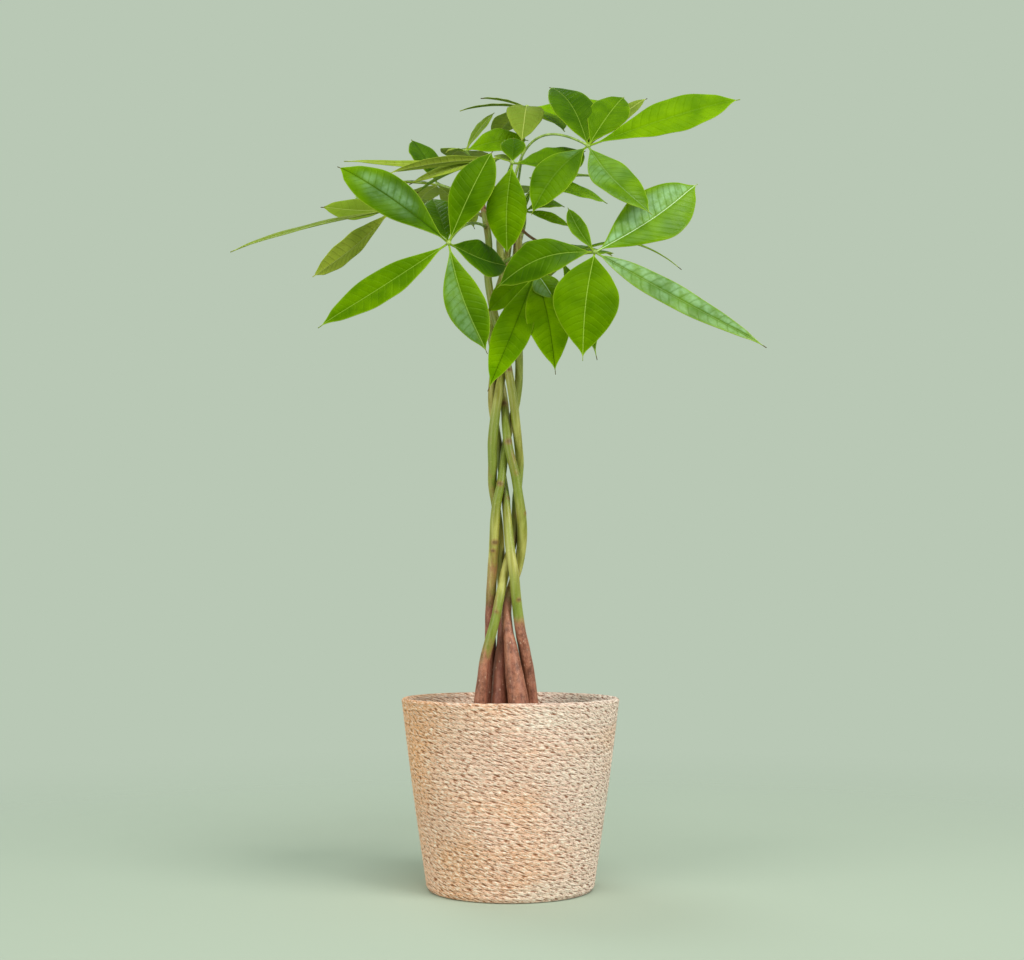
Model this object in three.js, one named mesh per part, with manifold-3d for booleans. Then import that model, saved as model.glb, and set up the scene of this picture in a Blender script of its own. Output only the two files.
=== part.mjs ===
// Potted money tree: five braided stems with palmate leaves, rooted in the soil of a plastic
// nursery pot that stands inside a round coiled-rope basket.
// Millimetres, +Z up, the basket stands on z = 0 round the Z axis, the viewer's side is -Y.
import * as THREE from 'three';
import { mergeVertices } from 'three/addons/utils/BufferGeometryUtils.js';
import Module from 'manifold-3d';

// ---------------------------------------------------------------- driving dimensions
const WELD_DISTANCE = 1e-4;
const BASKET_HEIGHT = 180;
const BASKET_TOP_R = 105;
const BASKET_FOOT_R = 79.5;
const BASKET_BULGE = 0.8;
const BASKET_WALL = 6;
const BASKET_FLOOR = 5;
const BASKET_EDGE_R = 5;
const BASKET_WALL_HEIGHTS = [50, 95, 140]; // where the bowed wall has a row of corners
const ROUND_SIDES = 48;

const SEAT = 0.3; // space left between two pieces that rest on or in each other
const POT_TOP_Z = 165;
const POT_WALL = 1.8;
const POT_FLOOR = 2.4;
const POT_FOOT_R = 70;
const POT_TOP_R = 91;
const POT_LIP = 3.2;
const POT_LIP_DEPTH = 9;
const POT_LIP_CHAMFER = 1;
const DRAIN_HOLES = 6;
const DRAIN_HOLE_R = 6;
const DRAIN_RING_R = 44;
const DRAIN_HOLE_SIDES = 16;

const SOIL_EDGE_Z = 153;
const SOIL_CROWN = 5;
const SOIL_ROUGHNESS = 1.1;
const SOIL_SEED = 11;
const SOIL_RINGS = 5;

const STEM_SIDES = 8;
const RINGS_PER_POINT = 1.35;

const PETIOLE_ROOT_R = 1.9;
const PETIOLE_END_R = 1.4;
const PETIOLE_SIDES = 5;
const PETIOLE_RINGS = 7;
const HUB_R = 3.2;
const BLADE_THICKNESS = 0.9;
const STALK_HALF_WIDTH = 1.0;
// The outline of a blade: where along the leaflet it starts and how long it is, as shares, how slim
// its sides are towards the hub and towards the tip, and how far its widest place sits past the
// middle. The last two are the usual values, a leaflet may have its own.
const OUTLINE_START = 0.04;
const OUTLINE_LENGTH = 0.93;
const OUTLINE_POWER_AT_HUB = 1.05;
const OUTLINE_POWER_AT_TIP = 0.82;
const OUTLINE_SHIFT = 1.12;
const BLADE_FOLD = 0.3;
const BLADE_CURL = 0.22;
const BLADE_STATIONS = [0, 0.1, 0.24, 0.4, 0.56, 0.71, 0.84, 0.94, 1];

// Each stem: points along its middle line and the radius there, from the root upwards.
const STEMS = {
  stem_1: [[-32, -4, 106, 4], [-32, -5, 130, 6.5], [-30.5, -5, 156, 7], [-29, -6, 176, 6.3],
    [-27, -7, 196, 5.6], [-25, -8, 214, 5], [-20.5, -9, 233, 4.9], [-15, -10, 253, 4.6],
    [-11, -9, 273, 4.5], [-7, -4, 292, 4.5], [-1.5, 3, 316, 4.5], [3.5, 8, 337, 4.4],
    [5, 9, 356, 4.3], [6, 7, 374, 4.3], [8, 5, 393, 4.2], [9, 3, 408, 4.2], [8, 0, 422, 4.1],
    [5.5, -5, 446, 4.3], [2.5, -8, 471, 4.3], [-0.5, -9, 489, 4.2], [-4, -9, 507, 4.2],
    [-10.5, -8, 533, 4], [-18, -6, 564, 4], [-22.5, -3, 595, 3.8], [-21.5, -1, 626, 3.6],
    [-24.5, 0, 649, 3.4], [-28.5, 0, 670, 2.6]],
  stem_2: [[-22, 21, 106, 4], [-22, 20, 130, 6.6], [-21, 19, 156, 7], [-20.5, 17, 175, 6.6],
    [-19.5, 15, 201, 6.1], [-19, 12, 223, 5.6], [-20, 7, 249, 5], [-19, 3, 278, 4.9],
    [-17.5, 1, 303, 4.9], [-16, -2, 327, 5], [-15, -5, 350, 4.9], [-13.5, -6, 366, 4.6],
    [-10, -6, 384, 4.1], [-7.5, -3, 401, 4.1], [-5.5, 2, 420, 4.1], [-1.5, 6, 441, 4.1],
    [4, 7, 461, 4.1], [7.5, 4, 482, 4.1], [8.5, 1, 501, 4], [8, -3, 522, 4],
    [5.5, -7, 547, 4], [-0.5, -9, 573, 3.9], [-7.5, -9, 598, 3.8], [-10.5, -6, 624, 3.6],
    [-9.5, -2, 648, 3.4], [-9.5, 0, 668, 2.6]],
  stem_3: [[-10, 4, 106, 5], [-10.5, 4, 130, 8.6], [-10.5, 3, 156, 9.4], [-10, 2, 175, 9],
    [-9.5, 4, 204, 7.8], [-8, 7, 230, 5.6], [-7, 9, 254, 4.8], [-7.5, 10, 275, 4.6],
    [-9, 10, 298, 4.5], [-10, 9, 322, 4.4], [-11.5, 6, 345, 4.4], [-14.5, 5, 367, 4.4],
    [-17.5, 2, 386, 4.4], [-17.5, -2, 406, 4.6], [-17.5, -5, 428, 4.9], [-15.5, -6, 449, 4.8],
    [-12.5, -6, 470, 4.6], [-9.5, -3, 489, 4.3], [-5, 2, 508, 4.2], [0.5, 6, 529, 4],
    [6.5, 8, 552, 4], [10.5, 6, 576, 3.9], [10.5, 1, 599, 3.8], [8.5, -3, 620, 3.5],
    [8.5, -2, 638, 3.3], [9.5, -2, 652, 2.4]],
  stem_4: [[10, -10, 106, 5.5], [10, -10, 130, 9.8], [8.5, -10, 156, 10.6], [7.5, -9, 176, 10.2],
    [3.5, -8, 204, 8.8], [0.5, -7, 225, 6.8], [-2, -5, 243, 5], [-3.5, -1, 260, 4.6],
    [-2, 1, 276, 4.5], [2.5, 6, 291, 4.5], [7.5, 7, 306, 4.6], [10.5, 4, 323, 4.8],
    [11.5, 1, 340, 5], [10.5, -3, 357, 4.9], [8, -6, 375, 4.6], [4.5, -8, 396, 4.5],
    [0, -9, 414, 4.3], [-3, -8, 430, 4.2], [-4.5, -3, 446, 4.2], [-5.5, 3, 461, 4.1],
    [-7.5, 7, 477, 4.1], [-11.5, 9, 498, 4.1], [-16.5, 8, 520, 4], [-19.5, 5, 543, 4],
    [-15.5, 2, 569, 3.9], [-8.5, 2, 593, 3.8], [-3.5, 4, 616, 3.6], [-1, 6, 637, 3.4],
    [0.5, 6, 659, 2.6]],
  stem_5: [[24, 7, 106, 4], [24, 7, 130, 6.8], [22.5, 6, 156, 7.2], [20.5, 5, 175, 6.8],
    [17.5, 2, 201, 6.2], [14, -2, 223, 5.8], [9.5, -5, 245, 5.2], [6, -8, 272, 4.9],
    [3.5, -10, 298, 4.9], [0, -9, 321, 4.7], [-2, -7, 340, 4.5], [-3.5, -4, 358, 4.2],
    [-5, 0, 376, 4.1], [-7.5, 5, 393, 4], [-10, 9, 410, 4], [-12, 9, 427, 4],
    [-15, 7, 446, 4], [-18, 5, 465, 4], [-18, 2, 482, 4], [-16, 0, 500, 4],
    [-12, 0, 521, 4], [-7, 1, 544, 4], [-1.5, 4, 569, 3.9], [2.5, 8, 594, 3.8],
    [5, 11, 616, 3.5], [6, 12, 636, 2.6]],
};

// Each leaf: the stem that carries it, the height of its root on that stem, a point that its stalk
// passes, its hub, the way its upper side faces, and its leaflets. A leaflet is its tip, its width,
// how far it arches towards its upper side and sideways (shares of its length) and its roll. Two
// more values, where given, are its own slimness towards the tip and its own shift past the middle.
const LEAVES = {
  leaf_a: { stem: 'stem_1', root: 644, via: [-42, -46, 634], hub: [-58, -80, 607],
    face: [0, -0.9, 0.45],
    leaflets: [[-166, -58, 689, 45, 0.05, 0, 0, 0.65, 1.2], [-17, -55, 705, 40, 0.05, 0, 0, 0.75],
      [-178, -92, 525, 36, 0.03, -0.03, 0], [-21, -100, 499, 38, 0.05, 0.05, 0, 0.85, 1.3],
      [-2, -36, 596, 44, 0.03, 0.1, 0], [-77, -22, 668, 36, 0.05, 0, 0]] },
  leaf_b: { stem: 'stem_3', root: 644, via: [36, -40, 615], hub: [79, -85, 597],
    face: [0.05, -0.9, 0.42],
    leaflets: [[66, -108, 491, 61, 0.05, 0.03, 0, 1.05, 0.95], [-13, -78, 565, 44, 0.1, 0.07, 0],
      [180, -55, 673, 60, 0.04, 0.06, 0, 0.85], [235, -102, 505, 28, 0.03, 0.03, 0, 0.75, 0.75],
      [55, -58, 648, 17, 0.03, -0.05, 0]] },
  leaf_c: { stem: 'stem_4', root: 656, via: [21, -8, 728], hub: [76, -34, 716],
    face: [0.1, -0.85, 0.5],
    leaflets: [[40, 28, 800, 43, 0.1, 0.02, 0, 0.9, 0.9], [80, 30, 768, 34, 0.04, 0.05, 0],
      [115, 8, 782, 39, 0.06, 0, 0, 0.7], [226, -30, 766, 46, 0.03, 0.01, 0, 0.75, 1.3],
      [132, -92, 632, 42, 0.04, 0.08, 0], [20, -74, 637, 39, 0.05, 0.05, 0],
      [142, 46, 795, 16, 0.03, 0, 0]] },
  leaf_d: { stem: 'stem_2', root: 652, via: [-5, -26, 680], hub: [2, -50, 694],
    face: [0, -0.8, 0.6],
    leaflets: [[-3, -66, 599, 39, 0.04, 0.03, 0], [75, -4, 722, 44, 0, 0.12, 0],
      [3, -28, 727, 25, 0.05, 0, 0], [-16, -30, 708, 10, 0.05, 0, 0]] },
  leaf_e: { stem: 'stem_2', root: 604, via: [8, -30, 606], hub: [24, -45, 588],
    face: [0, -0.9, 0.43],
    leaflets: [[-21, -84, 467, 36, 0.05, -0.02, 0, 1], [42, -82, 483, 42, 0.05, -0.02, 0, 1.05, 1],
      [-23, -36, 550, 28, 0.05, 0, 0], [42, -62, 556, 27, 0.05, 0, 0, 1.2]] },
  leaf_f: { stem: 'stem_1', root: 655, via: [-70, 12, 670], hub: [-115, -34, 653],
    face: [-0.2, -0.5, 0.85],
    leaflets: [[-269, -50, 608, 20, 0.02, 0, 0], [-187, -70, 578, 36, 0, 0.05, 60, 0.6, 1.3],
      [-188, -12, 662, 27, -0.05, 0, -30], [-158, 50, 692, 30, 0.05, 0, 0],
      [-86, 60, 683, 30, 0.05, 0, 0]] },
  leaf_g: { stem: 'stem_2', root: 660, via: [-20, 22, 698], hub: [-46, 14, 727],
    face: [0, -0.3, 0.95],
    leaflets: [[-17, 40, 777, 14, 0.03, 0, 0], [18, 18, 740, 35, 0.08, 0, 40],
      [-65, 2, 722, 11, 0.1, 0, 0], [-38, 118, 742, 36, 0.05, 0, 0],
      [-66, 100, 748, 32, 0.05, 0, 0]] },
  leaf_h: { stem: 'stem_4', root: 638, via: [10, 28, 715], hub: [17, 42, 783],
    face: [0.1, -0.2, 0.97],
    leaflets: [[-52, 26, 774, 14, 0.05, 0, 0], [-31, 50, 796, 12, 0.04, 0, 0],
      [124, 58, 790, 38, -0.05, 0, 40], [55, 8, 746, 38, 0.05, 0, 0],
      [11, -18, 725, 38, 0.16, 0, 0], [54, 120, 790, 34, 0.03, 0, 0],
      [-20, 128, 778, 30, 0.04, 0, 0]] },
  leaf_i: { stem: 'stem_4', root: 626, via: [8, 34, 672], hub: [26, 66, 706],
    face: [0.1, -0.2, 0.97],
    leaflets: [[104, 104, 700, 34, 0.06, 0, 30], [103, 150, 742, 32, 0.05, 0, 0],
      [-12, 150, 715, 36, 0.05, 0, 0], [50, 176, 742, 38, 0.05, 0, 0]] },
  leaf_j: { stem: 'stem_3', root: 628, via: [14, 4, 646], hub: [14, -3, 660],
    face: [0.1, -0.4, 0.9],
    leaflets: [[60, 4, 646, 15, 0.05, 0, 30], [55, 22, 672, 18, 0.12, 0, 20],
      [20, -9, 678, 8, 0.05, 0, 0]] },
  leaf_k: { stem: 'stem_5', root: 622, via: [26, 26, 636], hub: [51, 44, 624],
    face: [0.1, -0.5, 0.85],
    leaflets: [[179, 74, 621, 8, 0.17, 0, 0, 1.3, 0.8], [87, 20, 515, 36, 0.06, 0, 0, 1.7],
      [26, 22, 596, 22, 0.05, 0, 0], [12, 130, 600, 40, 0.05, 0, 0],
      [112, 150, 655, 40, 0.05, 0, 0]] },
  leaf_l: { stem: 'stem_5', root: 630, via: [-30, 46, 680], hub: [-77, 74, 711],
    face: [0, -0.3, 0.95],
    leaflets: [[-106, 92, 766, 36, 0.05, 0, 0], [-166, 128, 720, 36, 0.05, 0, 0],
      [-40, 168, 690, 38, 0.05, 0, 0], [-112, 172, 706, 38, 0.05, 0, 0]] },
  leaf_m: { stem: 'stem_1', root: 666, via: [-27, -8, 688], hub: [-13, -14, 710],
    face: [0, -0.4, 0.9],
    leaflets: [[-163, -32, 703, 10, -0.04, 0, -30], [-118, -60, 681, 14, 0.04, 0, 50],
      [-101, -6, 687, 15, 0.04, 0, -30], [-97, 40, 692, 24, 0.05, 0, 0]] },
};

const COLOURS = {
  basket: 0xd9b98c, nursery_pot: 0x3a322c, soil: 0x4a3524, stem: 0x7d8a3c, leaf: 0x5fa51e,
};

// ---------------------------------------------------------------- solid helpers
const wasm = await Module();
wasm.setup();

// A copy with one vertex where several met.
function welded(geometry) {
  const plain = geometry.clone();
  plain.deleteAttribute('normal');
  plain.deleteAttribute('uv');
  return mergeVertices(plain, WELD_DISTANCE);
}

// A closed triangle mesh as a boolean solid.
function solid(geometry) {
  const merged = welded(geometry);
  return new wasm.Manifold(new wasm.Mesh({
    numProp: 3,
    vertProperties: new Float32Array(merged.attributes.position.array),
    triVerts: new Uint32Array(merged.index.array),
  }));
}

function geometryOf(manifold) {
  const mesh = manifold.getMesh();
  const geometry = new THREE.BufferGeometry();
  geometry.setAttribute('position', new THREE.BufferAttribute(mesh.vertProperties, 3));
  geometry.setIndex(new THREE.BufferAttribute(mesh.triVerts, 1));
  return geometry;
}

// A closed profile of [radius, height] points turned round the Z axis.
function turned(profile) {
  const points = profile.map(([r, z]) => new THREE.Vector2(r, z));
  const geometry = new THREE.LatheGeometry(points, ROUND_SIDES);
  geometry.rotateX(Math.PI / 2);
  return geometry;
}

// Points on a quarter round from one direction to the other, both in degrees from +radius.
function arc(centreR, centreZ, radius, fromDeg, toDeg, steps) {
  const points = [];
  for (let i = 0; i <= steps; i += 1) {
    const angle = THREE.MathUtils.degToRad(THREE.MathUtils.lerp(fromDeg, toDeg, i / steps));
    points.push([centreR + radius * Math.cos(angle), centreZ + radius * Math.sin(angle)]);
  }
  return points;
}

// Rings of vertices joined into one closed tube with flat ends.
function ringsToTube(rings) {
  const sides = rings[0].length;
  const positions = rings.flat().flatMap((p) => [p.x, p.y, p.z]);
  const index = [];
  for (let i = 0; i + 1 < rings.length; i += 1) {
    for (let j = 0; j < sides; j += 1) {
      const a = i * sides + j;
      const b = i * sides + ((j + 1) % sides);
      index.push(a, b, b + sides, a, b + sides, a + sides);
    }
  }
  const last = (rings.length - 1) * sides;
  for (let j = 1; j + 1 < sides; j += 1) {
    index.push(0, j + 1, j);
    index.push(last, last + j, last + j + 1);
  }
  const geometry = new THREE.BufferGeometry();
  geometry.setAttribute('position', new THREE.Float32BufferAttribute(positions, 3));
  geometry.setIndex(index);
  return geometry;
}

// A tube along a curve. radiusAt gives the radius for a share 0..1 of the curve.
function tube(curve, radiusAt, sides, count, side) {
  const rings = [];
  for (let i = 0; i <= count; i += 1) {
    const share = i / count;
    const centre = curve.getPoint(share);
    const along = curve.getTangent(share);
    const across = side.clone().addScaledVector(along, -side.dot(along)).normalize();
    const other = new THREE.Vector3().crossVectors(along, across);
    const ring = [];
    for (let j = 0; j < sides; j += 1) {
      const angle = (2 * Math.PI * j) / sides;
      ring.push(centre.clone()
        .addScaledVector(across, radiusAt(share) * Math.cos(angle))
        .addScaledVector(other, radiusAt(share) * Math.sin(angle)));
    }
    rings.push(ring);
  }
  return ringsToTube(rings);
}

// Repeatable random numbers 0..1.
function seeded(seed) {
  let state = seed;
  return () => {
    state = (state * 1664525 + 1013904223) % 4294967296;
    return state / 4294967296;
  };
}

// ---------------------------------------------------------------- basket and nursery pot
function basketRadius(z) {
  const share = z / BASKET_HEIGHT;
  return THREE.MathUtils.lerp(BASKET_FOOT_R, BASKET_TOP_R, share)
    + BASKET_BULGE * Math.sin(Math.PI * share);
}

function basket() {
  const rim = BASKET_WALL / 2;
  const rimZ = BASKET_HEIGHT - rim;
  const edgeR = basketRadius(BASKET_EDGE_R) - BASKET_EDGE_R;
  const outside = BASKET_WALL_HEIGHTS.map((z) => [basketRadius(z), z]);
  const inside = outside.map(([r, z]) => [r - BASKET_WALL, z]).reverse();
  const profile = [
    [0, 0],
    ...arc(edgeR, BASKET_EDGE_R, BASKET_EDGE_R, -90, 0, 2),
    ...outside,
    ...arc(BASKET_TOP_R - rim, rimZ, rim, 0, 180, 4),
    ...inside,
    [basketRadius(BASKET_FLOOR) - BASKET_WALL, BASKET_FLOOR],
    [0, BASKET_FLOOR],
  ];
  return turned(profile);
}

function potRadius(z) {
  const foot = BASKET_FLOOR + SEAT;
  return THREE.MathUtils.mapLinear(z, foot, POT_TOP_Z, POT_FOOT_R, POT_TOP_R);
}

function nurseryPot() {
  const foot = BASKET_FLOOR + SEAT;
  const lipZ = POT_TOP_Z - POT_LIP_DEPTH;
  const inside = foot + POT_FLOOR;
  const wall = turned([
    [0, foot],
    [POT_FOOT_R, foot],
    [potRadius(lipZ), lipZ],
    [potRadius(lipZ) + POT_LIP, lipZ],
    [POT_TOP_R + POT_LIP, POT_TOP_Z - POT_LIP_CHAMFER],
    [POT_TOP_R + POT_LIP - POT_LIP_CHAMFER, POT_TOP_Z],
    [POT_TOP_R - POT_WALL, POT_TOP_Z],
    [potRadius(inside) - POT_WALL, inside],
    [0, inside],
  ]);
  let pot = solid(wall);
  for (let i = 0; i < DRAIN_HOLES; i += 1) {
    const angle = (2 * Math.PI * i) / DRAIN_HOLES;
    const depth = 4 * POT_FLOOR;
    const drill = new THREE.CylinderGeometry(DRAIN_HOLE_R, DRAIN_HOLE_R, depth, DRAIN_HOLE_SIDES);
    drill.rotateX(Math.PI / 2);
    drill.translate(DRAIN_RING_R * Math.cos(angle), DRAIN_RING_R * Math.sin(angle), foot);
    pot = pot.subtract(solid(drill));
  }
  return geometryOf(pot);
}

// ---------------------------------------------------------------- stems and soil
// The middle line and radius of a stem. grow fattens it and lengthens both ends.
function stemTube(points, grow) {
  const centres = points.map(([x, y, z]) => new THREE.Vector3(x, y, z));
  centres[0].z -= grow;
  centres[centres.length - 1].z += grow;
  const curve = new THREE.CatmullRomCurve3(centres, false, 'catmullrom', 0.5);
  const radiusAt = (share) => {
    const place = share * (points.length - 1);
    const i = Math.min(Math.floor(place), points.length - 2);
    return THREE.MathUtils.lerp(points[i][3], points[i + 1][3], place - i) + grow;
  };
  const count = Math.round((points.length - 1) * RINGS_PER_POINT);
  return tube(curve, radiusAt, STEM_SIDES, count, new THREE.Vector3(1, 0, 0));
}

// Soil with a low crown and a slightly uneven top, with a plain hole for each stem.
function soil(stemHoles) {
  const bottom = BASKET_FLOOR + SEAT + POT_FLOOR + SEAT;
  const wallGap = POT_WALL + SEAT;
  const edge = potRadius(SOIL_EDGE_Z) - wallGap;
  const top = [];
  for (let i = 0; i <= SOIL_RINGS; i += 1) {
    const share = 1 - i / SOIL_RINGS;
    top.push([edge * share, SOIL_EDGE_Z + SOIL_CROWN * (1 - share * share)]);
  }
  const geometry = turned([[0, bottom], [potRadius(bottom) - wallGap, bottom], ...top]);
  const merged = welded(geometry);
  const random = seeded(SOIL_SEED);
  const place = merged.attributes.position;
  for (let i = 0; i < place.count; i += 1) {
    const r = Math.hypot(place.getX(i), place.getY(i));
    const lift = (random() - 0.5) * 2 * SOIL_ROUGHNESS;
    const inTheTop = place.getZ(i) > SOIL_EDGE_Z / 2 && r < edge - POT_WALL;
    if (inTheTop) {
      place.setZ(i, place.getZ(i) + lift);
    }
  }
  let body = solid(merged);
  for (const hole of stemHoles) {
    body = body.subtract(hole);
  }
  return geometryOf(body);
}

// ---------------------------------------------------------------- leaves
// Half the width of a leaflet at a share 0..1 of its length: slim at the hub, full past the
// middle, blunt or pointed before the drip tip.
function halfWidth(share, width, powerAtTip, shift) {
  const t = THREE.MathUtils.clamp((share - OUTLINE_START) / OUTLINE_LENGTH, 0, 1);
  const power = THREE.MathUtils.lerp(OUTLINE_POWER_AT_HUB, powerAtTip, t);
  const full = (width / 2) * Math.sin(Math.PI * t ** shift) ** power;
  return Math.max(full || 0, STALK_HALF_WIDTH);
}

// One leaflet as a thin closed blade: left edge, midrib and right edge, on an upper and an
// under side that are split into triangles alike.
function leafletBlade(hub, face, leaflet) {
  const [x, y, z, width, arch, sweep, roll] = leaflet;
  const [powerAtTip = OUTLINE_POWER_AT_TIP, shift = OUTLINE_SHIFT] = leaflet.slice(7);
  const chord = new THREE.Vector3(x, y, z).sub(hub);
  const length = chord.length();
  const along = chord.clone().normalize();
  const up = face.clone().addScaledVector(along, -face.dot(along)).normalize();
  up.applyAxisAngle(along, THREE.MathUtils.degToRad(roll));
  const right = new THREE.Vector3().crossVectors(along, up);
  const columns = [-1, 0, 1];
  const rings = BLADE_STATIONS.map((share) => {
    const wave = Math.sin(Math.PI * share) * length;
    const half = halfWidth(share, width, powerAtTip, shift);
    const middle = hub.clone()
      .addScaledVector(along, share * length)
      .addScaledVector(up, arch * wave)
      .addScaledVector(right, sweep * wave);
    const upper = columns.map((u) => middle.clone()
      .addScaledVector(right, u * half)
      .addScaledVector(up, (BLADE_FOLD * Math.abs(u) - BLADE_CURL * u * u) * half));
    const under = upper.map((p) => p.clone().addScaledVector(up, -BLADE_THICKNESS));
    return [...upper, ...under];
  });
  return bladeMesh(rings, columns.length);
}

// Joins the rings of a blade, upper row first and under row second in each ring.
function bladeMesh(rings, columns) {
  const size = 2 * columns;
  const positions = rings.flat().flatMap((p) => [p.x, p.y, p.z]);
  const index = [];
  const quad = (a, b, c, d) => index.push(a, b, c, a, c, d);
  const turnedQuad = (a, b, c, d) => index.push(a, c, b, a, d, c);
  for (let i = 0; i + 1 < rings.length; i += 1) {
    const near = i * size;
    const far = near + size;
    for (let j = 0; j + 1 < columns; j += 1) {
      quad(near + j, near + j + 1, far + j + 1, far + j);
      const under = columns + j;
      turnedQuad(near + under, near + under + 1, far + under + 1, far + under);
    }
    const edge = columns - 1;
    quad(near, far, far + columns, near + columns);
    quad(near + edge, near + columns + edge, far + columns + edge, far + edge);
  }
  const last = (rings.length - 1) * size;
  for (let j = 0; j + 1 < columns; j += 1) {
    quad(j, j + columns, j + columns + 1, j + 1);
    quad(last + j, last + j + 1, last + j + columns + 1, last + j + columns);
  }
  const geometry = new THREE.BufferGeometry();
  geometry.setAttribute('position', new THREE.Float32BufferAttribute(positions, 3));
  geometry.setIndex(index);
  return geometry;
}

// The point of a stem's middle line at a height.
function stemPointAt(points, height) {
  const i = points.findIndex(([, , z], k) => k > 0 && z >= height) - 1;
  const [a, b] = [points[i], points[i + 1]];
  const share = (height - a[2]) / (b[2] - a[2]);
  return new THREE.Vector3(
    THREE.MathUtils.lerp(a[0], b[0], share), THREE.MathUtils.lerp(a[1], b[1], share), height,
  );
}

// A whole palmate leaf: stalk, hub and leaflets fused, cut back to a snug seat on its stem.
function leaf({ stem, root, via, hub, face, leaflets }, stemHole) {
  const centre = new THREE.Vector3(...hub);
  const start = stemPointAt(STEMS[stem], root);
  const curve = new THREE.QuadraticBezierCurve3(start, stalkBend(start, via, centre), centre);
  const radiusAt = (share) => THREE.MathUtils.lerp(PETIOLE_ROOT_R, PETIOLE_END_R, share);
  const side = sideOf(start, centre);
  let body = solid(tube(curve, radiusAt, PETIOLE_SIDES, PETIOLE_RINGS, side));
  const ball = new THREE.IcosahedronGeometry(HUB_R, 1);
  ball.translate(...hub);
  body = body.add(solid(ball));
  const facing = new THREE.Vector3(...face).normalize();
  for (const leaflet of leaflets) {
    body = body.add(solid(leafletBlade(centre, facing, leaflet)));
  }
  return geometryOf(body.subtract(stemHole));
}

// The control point that carries a quadratic stalk through a given point half way.
function stalkBend(start, via, end) {
  const middle = new THREE.Vector3(...via);
  return middle.multiplyScalar(2).addScaledVector(start, -0.5).addScaledVector(end, -0.5);
}

// A direction square enough to a stalk to lay out its rings by.
function sideOf(start, end) {
  const along = end.clone().sub(start).normalize();
  const level = new THREE.Vector3(0, 0, 1).cross(along);
  return level.length() > 0.3 ? level.normalize() : new THREE.Vector3(1, 0, 0);
}

// ---------------------------------------------------------------- the whole plant
const group = new THREE.Group();

function add(name, geometry, colour, roughness) {
  const material = new THREE.MeshStandardMaterial({ color: colour, roughness });
  const mesh = new THREE.Mesh(geometry, material);
  mesh.name = name;
  group.add(mesh);
}

const stemHoles = {};
for (const [name, points] of Object.entries(STEMS)) {
  stemHoles[name] = solid(stemTube(points, SEAT));
}

add('basket', basket(), COLOURS.basket, 0.9);
add('nursery_pot', nurseryPot(), COLOURS.nursery_pot, 0.6);
add('soil', soil(Object.values(stemHoles)), COLOURS.soil, 1);
for (const [name, points] of Object.entries(STEMS)) {
  add(name, stemTube(points, 0), COLOURS.stem, 0.7);
}
for (const [name, shape] of Object.entries(LEAVES)) {
  add(name, leaf(shape, stemHoles[shape.stem]), COLOURS.leaf, 0.5);
}

export default group;
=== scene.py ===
"""Looks of the potted money tree: a fine surface for each solid, its materials, the stage, the
lights and the camera. The tables are in millimetres, Blender's objects in metres, +Z up, and the
viewer of the front stands on the -Y side."""

import math

import bpy
import numpy as np
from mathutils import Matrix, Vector


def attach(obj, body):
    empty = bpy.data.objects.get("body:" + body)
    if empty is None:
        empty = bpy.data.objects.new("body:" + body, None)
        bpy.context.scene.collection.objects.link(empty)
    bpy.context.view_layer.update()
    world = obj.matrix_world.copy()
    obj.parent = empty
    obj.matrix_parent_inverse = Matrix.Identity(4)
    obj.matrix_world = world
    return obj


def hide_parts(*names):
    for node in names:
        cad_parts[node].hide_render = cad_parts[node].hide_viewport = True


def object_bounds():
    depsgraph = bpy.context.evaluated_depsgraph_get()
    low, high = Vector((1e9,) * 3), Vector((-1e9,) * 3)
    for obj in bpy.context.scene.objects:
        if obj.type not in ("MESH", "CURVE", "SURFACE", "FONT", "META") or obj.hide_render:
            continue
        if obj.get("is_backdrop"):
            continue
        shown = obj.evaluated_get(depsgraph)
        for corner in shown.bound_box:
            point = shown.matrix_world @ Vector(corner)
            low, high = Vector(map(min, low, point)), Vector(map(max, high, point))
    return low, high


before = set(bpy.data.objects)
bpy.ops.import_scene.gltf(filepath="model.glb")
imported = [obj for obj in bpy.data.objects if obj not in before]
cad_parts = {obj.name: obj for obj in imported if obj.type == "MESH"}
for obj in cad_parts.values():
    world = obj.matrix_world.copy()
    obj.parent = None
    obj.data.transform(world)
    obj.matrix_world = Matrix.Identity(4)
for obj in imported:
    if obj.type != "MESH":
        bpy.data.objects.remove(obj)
cad_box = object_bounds()

MM = 0.001
TURN = 2 * np.pi
random = np.random.default_rng(7)


def srgb(red, green, blue):
    """A colour given as 0..255 on a screen, as the linear colour that a shader takes."""
    linear = []
    for value in (red, green, blue):
        share = value / 255
        linear.append(share / 12.92 if share <= 0.04045 else ((share + 0.055) / 1.055) ** 2.4)
    return (*linear, 1.0)


# ------------------------ sizes, in millimetres
BASKET_HEIGHT = 180.0
BASKET_TOP_R = 105.0
BASKET_FOOT_R = 79.5
BASKET_BULGE = 0.8
BASKET_WALL = 6.0
BASKET_FLOOR = 5.0
BASKET_EDGE_R = 5.0
BASKET_COLUMNS = 352
# The rope: the height of a row, how far it stands out, the length of a ply along it, and the sunken
# gaps between plies, darkened with painted shade: their shift from row to row in plies, their lean,
# their depth, and how long and wide they are to either side.
ROPE_PITCH = 4.7
ROPE_RELIEF = 0.36
PLY_LENGTH = 11.0
GAP_SHIFT = 0.43
GAP_LEAN = 0.3
GAP_DEPTH = 0.3
GAP_HALF_LENGTH = 3.4
GAP_HALF_WIDTH = 1.2
RIM_LEVEL = 100.5  # the number of the rope's row on top of the rim. It grows down the outside
UV_TWIST = 10  # plies round the basket for one unit of the UV map's u
UV_LEVEL = 100  # rows of rope for one unit of its v

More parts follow.
